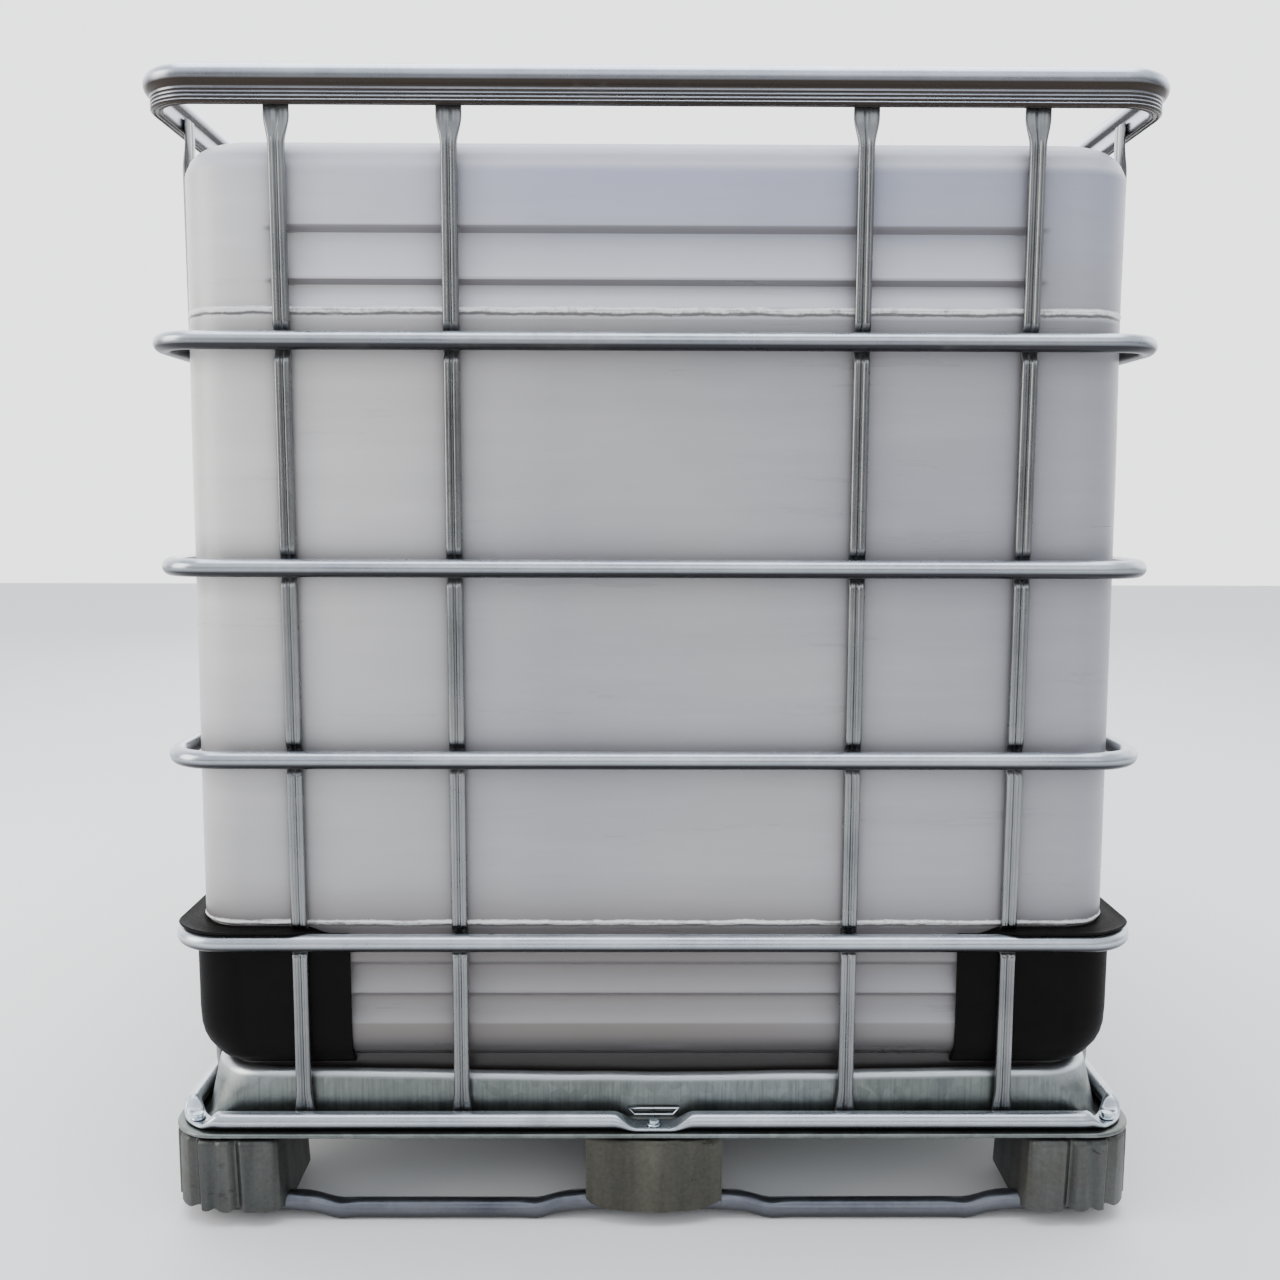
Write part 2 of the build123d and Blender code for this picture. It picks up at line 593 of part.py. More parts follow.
def write_feet():
    skid_space = skid_form(SKID_R + SEAT_GAP)
    runner_space = runner_form(SKID_R + SEAT_GAP, 0)
    holes = None
    for x, y in screw_spots():
        hole = Pos(x, y, FOOT_TOP_Z) * Cylinder((SCREW_D + SCREW_FIT) / 2, 3 * FOOT_WALL)
        holes = hole if holes is None else holes + hole
    corner = Pos(FOOT_EDGE, FOOT_EDGE, 0) * foot_shell(corner_outline(), flutes)
    middle = Pos(0, FOOT_EDGE, 0) * foot_shell(middle_outline())
    places = {
        "corner_foot_rear_left": Pos(-HALF_X, -HALF_Y, 0) * corner,
        "corner_foot_rear_right": Pos(HALF_X, -HALF_Y, 0) * Rot(0, 0, 90) * corner,
        "corner_foot_front_right": Pos(HALF_X, HALF_Y, 0) * Rot(0, 0, 180) * corner,
        "corner_foot_front_left": Pos(-HALF_X, HALF_Y, 0) * Rot(0, 0, 270) * corner,
        "middle_foot_rear": Pos(0, -HALF_Y, 0) * middle,
        "middle_foot_right": Pos(HALF_X, 0, 0) * Rot(0, 0, 90) * middle,
        "middle_foot_front": Pos(0, HALF_Y, 0) * Rot(0, 0, 180) * middle,
        "middle_foot_left": Pos(-HALF_X, 0, 0) * Rot(0, 0, 270) * middle,
    }
    for name, foot in places.items():
        foot = foot - skid_space - holes
        if name in ("middle_foot_rear", "middle_foot_front"):
            foot -= runner_space
        write(foot, name)
    centre = foot_shell(RectangleRounded(MIDDLE_FOOT_W, MIDDLE_FOOT_D, FOOT_INNER_R))
    write(centre - runner_space, "centre_foot")


def base_pan():
    """A pressed tray: a flange with a rolled edge, a skirt, a rounded rim and a sunk floor."""
    def form(inset, low, high):
        return block(HALF_X - inset, HALF_Y - inset, PAN_R - (inset - PAN_INSET), low, high)

    skirt = form(PAN_INSET, FLANGE_BOTTOM_Z, PAN_RIM_Z)
    skirt = fillet(skirt.edges().group_by(Axis.Z)[-1], PAN_RIM_R)
    hollow = form(PAN_INSET + PAN_T, FLANGE_BOTTOM_Z - 1, PAN_RIM_Z - PAN_T)
    hollow = fillet(hollow.edges().group_by(Axis.Z)[-1], PAN_RIM_R - PAN_T)
    tray_low = PAN_FLOOR_Z - PAN_T
    shell = skirt - hollow - form(TRAY_IN, tray_low, PAN_RIM_Z + 1)
    tray = form(TRAY_IN - PAN_T, tray_low, PAN_RIM_Z - PAN_T / 2)
    tray -= form(TRAY_IN, PAN_FLOOR_Z, PAN_RIM_Z + 1)
    bead_in = BEAD_D / 2
    bead_corner = CAGE_CORNER_R + RING_IN - bead_in
    flange = block(HALF_X - bead_in, HALF_Y - bead_in, bead_corner, FLANGE_BOTTOM_Z, FLANGE_TOP_Z)
    flange -= form(PAN_INSET + PAN_T / 2, FLANGE_BOTTOM_Z - 1, FLANGE_TOP_Z + 1)
    bead = loop(Pos(0, FLANGE_TOP_Z - bead_in) * Circle(bead_in), bead_in, bead_corner)
    pan = shell + tray + flange + bead
    for x, y in screw_spots():
        pan -= Pos(x, y, FLANGE_TOP_Z) * Cylinder((SCREW_D + SCREW_FIT) / 2, 6 * PAN_T)
    return pan


def deck_beam(x):
    """A channel, open below, between the feet and the floor of the pan."""
    low = FOOT_TOP_Z + SEAT_GAP
    high = PAN_FLOOR_Z - PAN_T - SEAT_GAP
    reach = HALF_Y - BEAM_END
    beam = plane_block(x - BEAM_W / 2, x + BEAM_W / 2, -reach, reach, low, high)
    inner = BEAM_W / 2 - BEAM_T
    return beam - plane_block(x - inner, x + inner, -reach - 1, reach + 1, low - 1, high - BEAM_T)


def cage_screw(x, y):
    """A round-headed screw down through the ring, the pan's flange and the foot."""
    seat = BOTTOM_RING_Z - RING_R + FLAT_T + SEAT_GAP
    head = Pos(x, y, seat + SCREW_HEAD_H / 2) * Cylinder(SCREW_HEAD_D / 2, SCREW_HEAD_H)
    head = fillet(head.edges().group_by(Axis.Z)[-1], SCREW_HEAD_H * 0.6)
    tip = FOOT_TOP_Z - FOOT_WALL - SEAT_GAP - NUT_H - SCREW_TIP
    return head + rod((x, y, tip), (x, y, seat), SCREW_D / 2)


def cage_nut(x, y):
    top = FOOT_TOP_Z - FOOT_WALL - SEAT_GAP
    hexagon = RegularPolygon(NUT_AF / 2, 6, major_radius=False) - Circle(SCREW_D / 2 + SEAT_GAP)
    return Pos(x, y, top - NUT_H) * extrude(hexagon, NUT_H)


# ---------------------------------------------------------------- bottle
def groove_bar(reach, run, level, skin):
    """A bar that presses a groove into the face at Y = -reach, over the length run."""
    top = level + GROOVE_UP + skin
    low = level - GROOVE_DOWN - skin
    deep = -reach + GROOVE_DEPTH + skin
    face = -reach - 1
    side = Plane(origin=(-run / 2, 0, 0), x_dir=(0, 1, 0), z_dir=(1, 0, 0))
    profile = make_face(Polyline((face, top), (deep, level), (face, low), (face, top)))
    return extrude(side * profile, run)


def bottle_form(skin):
    """The form of the bottle's body. Skin moves every wall inwards, for the space inside."""
    x = BOTTLE_X - skin
    y = BOTTLE_Y - skin
    corner = BOTTLE_R - skin
    upper = block(x, y, corner, BAND_TOP + skin, BOTTLE_TOP - skin)
    upper = fillet(upper.edges().group_by(Axis.Z)[-1], SHOULDER_R - skin)
    band = block(x - BAND_STEP, y - BAND_STEP, corner - BAND_STEP,
                 BAND_LOW + skin, BAND_TOP + SHOULDER_R)
    band = fillet(band.edges().group_by(Axis.Z)[0], BAND_HEEL_R - skin)
    base_in = TRAY_IN + SOFT_GAP + skin
    base = block(HALF_X - base_in, HALF_Y - base_in, TRAY_R - SOFT_GAP - skin,
                 BOTTLE_BOTTOM + skin, BAND_LOW + BAND_HEEL_R)
    base = fillet(base.edges().group_by(Axis.Z)[0], HEEL_R - skin)
    form = upper + band + base
    levels = [(BOTTLE_TOP - drop, 0) for drop in UPPER_GROOVE_DROPS]
    levels += [(BOTTLE_BOTTOM + rise, BAND_STEP) for rise in LOWER_GROOVE_RISES]
    for level, step in levels:
        for turn, reach, half_run in ((0, BOTTLE_Y, BOTTLE_X), (180, BOTTLE_Y, BOTTLE_X),
                                      (90, BOTTLE_X, BOTTLE_Y), (270, BOTTLE_X, BOTTLE_Y)):
            if turn == 180 and step:
                continue
            run = 2 * (half_run - GROOVE_END + skin)
            form -= Rot(0, 0, turn) * groove_bar(reach - step, run, level, skin)
    recess_top = RECESS_TOP + skin
    recess = plane_block(-RECESS_W / 2 - skin, RECESS_W / 2 + skin, RECESS_Y - skin,
                         HALF_Y, 0, recess_top)
    rear_edges = recess.edges().filter_by(Axis.Z).sort_by(Axis.Y)[:2]
    return form - fillet(rear_edges, RECESS_R)


def bottle():
    """The bottle: a thin shell with seams, a fill neck on top and an outlet neck in the recess."""
    shell = bottle_form(0)
    for level in (BOTTLE_TOP - UPPER_SEAM_DROP, BOTTLE_BOTTOM + LOWER_SEAM_RISE):
        shell += block(BOTTLE_X + SEAM_PROUD, BOTTLE_Y + SEAM_PROUD, BOTTLE_R + SEAM_PROUD,
                       level - SEAM_H / 2, level + SEAM_H / 2)
    shell += rod((0, 0, BOTTLE_TOP - SHOULDER_R), (0, 0, NECK_TOP), NECK_R)
    shell += rod((0, 0, BOTTLE_TOP - SHOULDER_R), (0, 0, BOTTLE_TOP + NECK_FOOT_H),
                 NECK_R + NECK_FOOT_W)
    shell += rod((0, RECESS_Y - RECESS_R, VALVE_Z), (0, OUTLET_FACE_Y, VALVE_Z), OUTLET_NECK_R)
    space = bottle_form(BOTTLE_T)
    shell -= space
    shell -= rod((0, 0, BOTTLE_TOP - 2 * SHOULDER_R), (0, 0, NECK_TOP + 1), NECK_R - NECK_WALL)
    shell -= rod((0, RECESS_Y - 2 * RECESS_R, VALVE_Z), (0, OUTLET_FACE_Y + 1, VALVE_Z),
                 OUTLET_BORE_R)
    return shell


def ribbed_cap(radius, height, ribs, rib_r):
    """A cylinder from Z = 0 up, with round grip ribs down its side."""
    plan = Circle(radius)
    for turn in range(ribs):
        plan += Rot(0, 0, 360 * turn / ribs) * Pos(radius, 0) * Circle(rib_r)
    return extrude(plan, height)


def fill_cap():
    """The screw cap of the fill opening."""
    bore = NECK_R + CAP_RADIAL_GAP
    seat = NECK_TOP + 2 * SOFT_GAP + SEAL_T
    top = seat + CAP_TOP_T
    low = top - CAP_SKIRT_H
    cap = Pos(0, 0, low) * ribbed_cap(bore + CAP_WALL, CAP_SKIRT_H, CAP_RIBS, CAP_RIB_R)
    cap -= rod((0, 0, low - 1), (0, 0, seat), bore)
    cap += rod((0, 0, top), (0, 0, top + CAP_HUB_H), CAP_HUB_R)
    half = CAP_SPOKE_W / 2
    for turn in range(CAP_SPOKES):
        spoke = plane_block(CAP_HUB_R - 2, bore, -half, half, top - 1, top + CAP_HUB_H)
        cap += Rot(0, 0, 360 * turn / CAP_SPOKES) * spoke
    return cap


def fill_cap_seal():
    low = NECK_TOP + SOFT_GAP
    seal = rod((0, 0, low), (0, 0, low + SEAL_T), NECK_R)
    return seal - rod((0, 0, low - 1), (0, 0, low + SEAL_T + 1), NECK_R - SEAL_W)


# ---------------------------------------------------------------- discharge valve
def along_valve(y0, y1, radius):
    """A cylinder on the middle line of the valve."""
    return rod((0, y0, VALVE_Z), (0, y1, VALVE_Z), radius)


def valve_seal():
    low = OUTLET_FACE_Y + SOFT_GAP
    ring = along_valve(low, low + SEAL_T, OUTLET_NECK_R)
    return ring - along_valve(low - 1, low + SEAL_T + 1, OUTLET_BORE_R)


def valve_body():
    """The valve body: a collar for the union nut, a tube, a boss for the stem and the spout."""
    body = along_valve(BODY_Y, BODY_Y + COLLAR_T, COLLAR_R)
    body += along_valve(BODY_Y + COLLAR_T, BODY_END_Y, BODY_R)
    body += along_valve(BODY_END_Y, SPOUT_END_Y, SPOUT_R)
    boss_top = VALVE_Z + BODY_R + BOSS_H
    body += rod((0, STEM_Y, VALVE_Z), (0, STEM_Y, boss_top), BOSS_R)
    body -= along_valve(BODY_Y - 1, SPOUT_END_Y + 1, OUTLET_BORE_R)
    body -= rod((0, STEM_Y, VALVE_Z), (0, STEM_Y, boss_top + 1), STEM_R + STEM_GAP)
    foot_hole = VALVE_Z - OUTLET_BORE_R - (BODY_R - OUTLET_BORE_R) / 2
    body -= rod((0, STEM_Y, foot_hole), (0, STEM_Y, VALVE_Z), STEM_R + STEM_GAP)
    return body


def union_nut():
    """The ribbed nut that pulls the valve body onto the bottle's outlet neck."""
    seat = BODY_Y + COLLAR_T + SOFT_GAP
    front = seat + UNION_FRONT_T
    start = Plane(origin=(0, front, VALVE_Z), x_dir=(1, 0, 0), z_dir=(0, -1, 0))
    nut = start * ribbed_cap(UNION_R, UNION_L, UNION_RIBS, UNION_RIB_R)
    nut -= along_valve(front - UNION_L - 1, seat, COLLAR_R + UNION_GAP)
    return nut - along_valve(seat - 1, front + 1, BODY_R + UNION_GAP)


def valve_disc():
    """The butterfly disc: it closes the bore at rest and turns on the stem."""
    disc = along_valve(STEM_Y - DISC_T / 2, STEM_Y + DISC_T / 2, OUTLET_BORE_R - DISC_GAP)
    hub_r = STEM_R + DISC_HUB_T
    hub = rod((0, STEM_Y, VALVE_Z - OUTLET_BORE_R), (0, STEM_Y, VALVE_Z + OUTLET_BORE_R), hub_r)
    ball = Pos(0, STEM_Y, VALVE_Z) * Sphere(OUTLET_BORE_R - DISC_GAP)
    hole = rod((0, STEM_Y, VALVE_Z - BODY_R), (0, STEM_Y, VALVE_Z + BODY_R), STEM_R + SEAT_GAP)
    return disc + (hub & ball) - hole


def valve_stem():
    low = VALVE_Z - OUTLET_BORE_R - (BODY_R - OUTLET_BORE_R) / 2 + STEM_GAP
    return rod((0, STEM_Y, low), (0, STEM_Y, STEM_TOP), STEM_R)


def valve_handle():
    """The lever: it lies across the valve when closed."""
    lever = plane_block(0, HANDLE_L, STEM_Y - HANDLE_W / 2, STEM_Y + HANDLE_W / 2,
                        HANDLE_Z, HANDLE_Z + HANDLE_T)
    tip = lever.edges().filter_by(Axis.Z).sort_by(Axis.X)[-2:]
    lever = fillet(tip, HANDLE_W / 2 - 0.5)
    hub = rod((0, STEM_Y, HANDLE_Z), (0, STEM_Y, HANDLE_Z + HANDLE_T), HANDLE_HUB_R)
    return lever + hub - rod((0, STEM_Y, HANDLE_Z - 1), (0, STEM_Y, STEM_TOP), STEM_R + SEAT_GAP)


def handle_nut():
    low = HANDLE_Z + HANDLE_T + SEAT_GAP
    hexagon = RegularPolygon(HANDLE_NUT_AF / 2, 6, major_radius=False) - Circle(STEM_R + SEAT_GAP)
    return Pos(0, STEM_Y, low) * extrude(hexagon, STEM_TOP - low)


def outlet_seal():
    low = SPOUT_END_Y + SOFT_GAP
    ring = along_valve(low, low + SEAL_T, SPOUT_R)
    return ring - along_valve(low - 1, low + SEAL_T + 1, OUTLET_BORE_R)


def outlet_cap():
    """The dust cap on the spout."""
    seat = SPOUT_END_Y + 2 * SOFT_GAP + SEAL_T
    bore = SPOUT_R + OUTLET_CAP_GAP
    height = OUTLET_CAP_SKIRT + OUTLET_CAP_TOP
    start = Plane(origin=(0, seat + OUTLET_CAP_TOP, VALVE_Z), x_dir=(1, 0, 0), z_dir=(0, -1, 0))
    cap = start * ribbed_cap(bore + OUTLET_CAP_WALL, height, OUTLET_CAP_RIBS, OUTLET_CAP_RIB_R)
    return cap - along_valve(seat - OUTLET_CAP_SKIRT - 1, seat, bore)


# ---------------------------------------------------------------- corner protectors
def pocket_row():
    """Room in the protectors for the uprights that stand in front of them."""
    half = GUARD_POCKET / 2
    wall = UPRIGHT_BACK + SEAT_GAP
    pockets = []
    for x in (END_UPRIGHT_X[0], END_UPRIGHT_X[-1]):
        for y in (-1, 1):
            y0, y1 = sorted((y * HALF_Y, y * (HALF_Y - wall)))
            pockets.append(plane_block(x - half, x + half, y0, y1, 0, TOTAL_HEIGHT))
    for y in (SIDE_UPRIGHT_Y[0], SIDE_UPRIGHT_Y[-1]):
        for x in (-1, 1):
            x0, x1 = sorted((x * HALF_X, x * (HALF_X - wall)))
            pockets.append(plane_block(x0, x1, y - half, y + half, 0, TOTAL_HEIGHT))
    return pockets


def corner_guards():
    """The four black corner protectors as one band: two legs and a rounded corner each, pocketed
    behind the uprights, rounded in over the pan's rim, with a lip at the top that lies on ring 5."""
    corner = BOTTLE_R + GUARD_BULGE
    outside = block(HALF_X - GUARD_IN, HALF_Y - GUARD_IN, corner, GUARD_LOW, LIP_HIGH)
    outside = fillet(outside.edges().group_by(Axis.Z)[0], BAND_HEEL_R + GUARD_T)
    lip_corner = CAGE_CORNER_R + RING_R - GUARD_LIP_IN
    outside += block(CAGE_X - GUARD_LIP_IN, CAGE_Y - GUARD_LIP_IN, lip_corner, LIP_LOW, LIP_HIGH)
    inside = block(HALF_X - GUARD_BACK, HALF_Y - GUARD_BACK, corner - GUARD_T,
                   GUARD_LOW + GUARD_T, LIP_HIGH + 1)
    inside = fillet(inside.edges().group_by(Axis.Z)[0], BAND_HEEL_R)
    base = block(HALF_X - TRAY_IN, HALF_Y - TRAY_IN, TRAY_R, 0, LIP_HIGH)
    return outside - inside - base - pocket_row()


def guard_corner(x_sign, y_sign):
    """The space that one of the four protectors takes up."""
    x0, x1 = sorted((x_sign * (HALF_X - GUARD_LEG), x_sign * HALF_X))
    y0, y1 = sorted((y_sign * (HALF_Y - GUARD_LEG), y_sign * HALF_Y))
    return plane_block(x0, x1, y0, y1, 0, TOTAL_HEIGHT)


# ---------------------------------------------------------------- write every piece
os.makedirs("parts", exist_ok=True)

write(top_rim(), "top_rim")
for number, level in enumerate(RING_LEVELS, 2):
    write(open_ring(level), f"cage_ring_{number}")
write(bottom_ring(), "bottom_ring")
write_uprights()
write(crossbar(-1), "crossbar_rear")
write(crossbar(1), "crossbar_front")
ends = [(side, end) for side in (-1, 1) for end in (-1, 1)]
write(group(crossbar_bolt(side, end) for side, end in ends), "crossbar_bolts")
write(label_plate(), "label_plate")
write(group(label_rivet(x, z) for x, z in rivet_spots()), "label_rivets")

below_floor = plane_block(-HALF_X, HALF_X, -HALF_Y, HALF_Y, -SKID_D, 0)
skid = skid_form(SKID_R) - skid_form(SKID_R - SKID_WALL)
write(skid - below_floor, "skid_frame")
runner = runner_form(SKID_R, SEAT_GAP) - runner_form(SKID_R - SKID_WALL, SEAT_GAP + SKID_WALL)
write(runner - below_floor, "skid_runner")
write_feet()
write(base_pan(), "base_pan")
write(group(deck_beam(x) for x in (-BEAM_X, 0, BEAM_X)), "deck_beams")
write(group(cage_screw(x, y) for x, y in screw_spots()), "cage_screws")
nuts = [cage_nut(x, y) for x, y in screw_spots()]
nuts += [crossbar_nut(side, end) for side, end in ends]
write(group(nuts), "hex_nuts")

write(bottle(), "bottle")
write(fill_cap(), "fill_cap")
write(fill_cap_seal(), "fill_cap_seal")

write(valve_seal(), "valve_seal")
write(valve_body(), "valve_body")
write(union_nut(), "valve_union_nut")
write(valve_disc(), "valve_disc")
write(valve_stem(), "valve_stem")
write(valve_handle(), "valve_handle")
write(handle_nut(), "valve_handle_nut")
write(outlet_seal(), "outlet_cap_seal")
write(outlet_cap(), "outlet_cap")

guards = corner_guards()
write(guards & guard_corner(-1, -1), "corner_guard_rear_left")
write(guards & guard_corner(1, -1), "corner_guard_rear_right")
write(guards & guard_corner(-1, 1), "corner_guard_front_left")
write(guards & guard_corner(1, 1), "corner_guard_front_right")
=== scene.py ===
import math

import bmesh
import bpy
import numpy as np
from mathutils import Euler, Matrix, Vector


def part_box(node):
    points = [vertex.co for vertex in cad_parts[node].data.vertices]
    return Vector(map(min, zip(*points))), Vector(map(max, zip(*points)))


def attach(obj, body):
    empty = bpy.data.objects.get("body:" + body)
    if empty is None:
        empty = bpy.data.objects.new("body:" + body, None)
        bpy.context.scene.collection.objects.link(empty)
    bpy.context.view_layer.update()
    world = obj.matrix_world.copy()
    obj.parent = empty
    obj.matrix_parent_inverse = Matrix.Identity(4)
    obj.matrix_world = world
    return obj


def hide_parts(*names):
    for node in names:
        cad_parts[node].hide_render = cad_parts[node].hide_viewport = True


# Looks of the intermediate bulk container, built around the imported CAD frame. Metres. The plain
# end that the photograph shows faces -Y, and the discharge valve faces +Y.
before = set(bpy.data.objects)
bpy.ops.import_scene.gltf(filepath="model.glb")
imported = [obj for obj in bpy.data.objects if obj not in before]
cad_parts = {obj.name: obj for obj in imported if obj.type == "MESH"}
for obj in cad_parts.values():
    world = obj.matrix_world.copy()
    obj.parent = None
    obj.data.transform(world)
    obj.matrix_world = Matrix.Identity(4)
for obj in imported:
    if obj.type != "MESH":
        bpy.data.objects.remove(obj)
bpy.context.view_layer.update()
MM = 0.001

# ---------------- sizes, most of them read from the frame
PAN_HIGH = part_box("base_pan")[1]
RIM_LOW, RIM_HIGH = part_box("top_rim")
BOTTLE_LOW, BOTTLE_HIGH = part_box("bottle")
HALF_X = PAN_HIGH[0]
HALF_Y = PAN_HIGH[1]
TOP_Z = RIM_HIGH[2]
RIM_BOTTOM = RIM_LOW[2]
CAGE_INSET = HALF_X - RIM_HIGH[0]
RINGS = ["cage_ring_2", "cage_ring_3", "cage_ring_4", "cage_ring_5"]
RING_Z = [(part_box(name)[0][2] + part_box(name)[1][2]) / 2 for name in RINGS]
RING_R = (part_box(RINGS[0])[1][2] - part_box(RINGS[0])[0][2]) / 2
RING_LINE = CAGE_INSET + RING_R         # middle line of the rings, in from the pallet's edge
RING_BACK = CAGE_INSET + 2 * RING_R
UPRIGHT_BACK = HALF_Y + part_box("rear_upright_1")[1][1]
SCREW_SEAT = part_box("cage_screws")[1][2]
FLANGE_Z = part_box("bottom_ring")[0][2] - 0.2 * MM
VALVE_Z = (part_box("outlet_cap")[0][2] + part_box("outlet_cap")[1][2]) / 2
BOTTLE_IN = HALF_X - BOTTLE_HIGH[0] + 0.9 * MM
CAGE_BEND = 56 * MM                     # outer bend of the cage's rings
RING_BEND = CAGE_BEND - RING_R
BOTTLE_BEND = 62 * MM

NECK_H = 33 * MM
BOTTLE_TOP_Z = BOTTLE_HIGH[2] - NECK_H
BOTTLE_BOTTOM = BOTTLE_LOW[2]
PAN_RIM_Z = PAN_HIGH[2]
SEAM_LOW = BOTTLE_BOTTOM + 195 * MM
SEAM_HIGH = BOTTLE_TOP_Z - 162 * MM
SKID_R = 10 * MM
FOOT_LOW = 17 * MM                      # lower edge of the outer feet's walls

UPRIGHTS = [(side, f"{name}_upright_{number}")
            for side, (name, count) in enumerate((("rear", 4), ("right", 5), ("front", 4),
                                                  ("left", 5)))
            for number in range(1, count + 1)]
CORNERS = [(f"{y_name}_{x_name}", x_sign, y_sign)
           for y_name, y_sign in (("rear", -1), ("front", 1))
           for x_name, x_sign in (("left", -1), ("right", 1))]


# ---------------- mesh helpers
def ease(low, high, value):
    """0 below low, 1 above high and smooth between them."""
    t = np.clip((np.asarray(value, float) - low) / (high - low), 0, 1)
    return t * t * (3 - 2 * t)


def bump_at(middle, width, value):
    return np.exp(-((np.asarray(value, float) - middle) / width) ** 2)


def ripple(*terms):
    """A smooth irregular wave of about -1 to 1: a sum of sines of the given values."""
    total = 0.0
    for value, scale, shift in terms:
        total = total + np.sin(value * scale + shift)
    return total / len(terms)


def loft(rings, cyclic=False, caps=True):
    """Quads between closed loops of points, one loop after the other."""
    rings = np.asarray(rings, float)
    count, size = rings.shape[:2]
    faces = []
    for i in range(count if cyclic else count - 1):
        a = i * size
        b = ((i + 1) % count) * size
        for j in range(size):
            k = (j + 1) % size
            faces.append((a + j, a + k, b + k, b + j))
    if caps and not cyclic:
        faces.append(tuple(range(size - 1, -1, -1)))
        faces.append(tuple(range((count - 1) * size, count * size)))
    return rings.reshape(-1, 3), faces


def merge(parts):
    """One list of points and faces from several."""
    points = []
    faces = []
    start = 0
    for part_points, part_faces in parts:
        points.append(np.asarray(part_points, float))
        faces += [tuple(index + start for index in face) for face in part_faces]
        start += len(part_points)
    return np.concatenate(points), faces


def piece(name, shape, material, nodes=(), body="container", sharp=38):
    """A finished piece from points and faces."""
    points, faces = shape
    mesh = bpy.data.meshes.new(name)
    mesh.from_pydata([tuple(point) for point in points], [], faces)
    work = bmesh.new()
    work.from_mesh(mesh)
    bmesh.ops.remove_doubles(work, verts=work.verts, dist=0.01 * MM)
    bmesh.ops.recalc_face_normals(work, faces=work.faces)
    work.to_mesh(mesh)
    work.free()
    mesh.polygons.foreach_set("use_smooth", [True] * len(mesh.polygons))
    mesh.set_sharp_from_angle(angle=math.radians(sharp))
    thing = bpy.data.objects.new(name, mesh)
    bpy.context.scene.collection.objects.link(thing)
    thing.data.materials.append(material)
    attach(thing, body)
    if nodes:
        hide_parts(*nodes)
    return thing


def spread(*stops):
    """Values from stop to stop: (value, steps to it from the one before)."""
    values = [stops[0][0]]
    for value, steps in stops[1:]:
        last = values[-1]
        values += [last + (value - last) * (i + 1) / steps for i in range(steps)]
    return np.array(values)


def spread_line(corners, steps):
    """Points along a line of straight runs."""
    points = [corners[0]]
    for start, end in zip(corners, corners[1:]):
        for i in range(1, steps + 1):
            points.append(tuple(a + (b - a) * i / steps for a, b in zip(start, end)))
    return points


def outline(half_x, half_y, bend, across, along, arc=12):
    """A rounded rectangle, anticlockwise from the left end of the -Y side. across and along are
    fractions of the straight sides' half lengths. Gives points and outward normals."""
    points, normals = [], []
    for turn in range(4):
        steps, half, reach = ((across, half_x - bend, half_y) if turn % 2 == 0
                              else (along, half_y - bend, half_x))
        c, s = math.cos(turn * math.pi / 2), math.sin(turn * math.pi / 2)
        for step in steps:
            x, y = step * half, -reach
            points.append((x * c - y * s, x * s + y * c))
            normals.append((s, -c))
        for i in range(1, arc):
            swing = math.pi / 2 * i / arc
            nx, ny = math.sin(swing), -math.cos(swing)
            x, y = half + bend * nx, -(reach - bend) + bend * ny
            points.append((x * c - y * s, x * s + y * c))
            normals.append((nx * c - ny * s, nx * s + ny * c))
    return np.array(points), np.array(normals)


def inset_outline(inset, bend, steps, arc):
    """The pallet's outline, moved in from its edge."""
    return outline(HALF_X - inset, HALF_Y - inset, bend, steps, steps, arc)


def place_loop(points, normals, out, height):
    """A loop of 3-D points, moved out along its normals."""
    out = np.broadcast_to(out, len(points))
    height = np.broadcast_to(height, len(points))
    flat = points + normals * out[:, None]
    return np.column_stack([flat, height])


def ring_sweep(inset, bend, section, across=9, arc=14):
    """A tube round the pallet. section is (out, up) points about a line that runs inset from the
    pallet's edge at height 0."""
    points, normals = inset_outline(inset, bend, np.linspace(-1, 1, across), arc)
    return loft([[(x + nx * out, y + ny * out, up) for out, up in section]
                 for (x, y), (nx, ny) in zip(points, normals)], cyclic=True)


def full_turn(count):
    return np.linspace(0, 2 * math.pi, count, endpoint=False)


def circle(radius, count=28, centre=(0.0, 0.0)):
    turns = full_turn(count)
    return np.column_stack([centre[0] + radius * np.cos(turns), centre[1] + radius * np.sin(turns)])


def level_loop(x, y, z):
    """A loop of points at one height."""
    return np.column_stack([x, y, np.full(len(x), z)])


def squared(wave, power):
    """A sine or cosine made squarer by a power below 1."""
    return np.sign(wave) * np.abs(wave) ** power


def blob(centre, size, seed):
    """A small uneven lump of weld."""
    turns = full_turn(12)
    rough = 1 + 0.12 * np.sin(turns * 3 + seed) + 0.08 * np.sin(turns * 5 + 2 * seed)
    rings = []
    for level in np.linspace(-1, 1, 8):
        wide = math.sqrt(max(1 - level * level, 0.003))
        rings.append(level_loop(centre[0] + size[0] * wide * rough * np.cos(turns),
                                centre[1] + size[1] * wide * rough * np.sin(turns),
                                centre[2] + size[2] * level))
    return loft(rings)


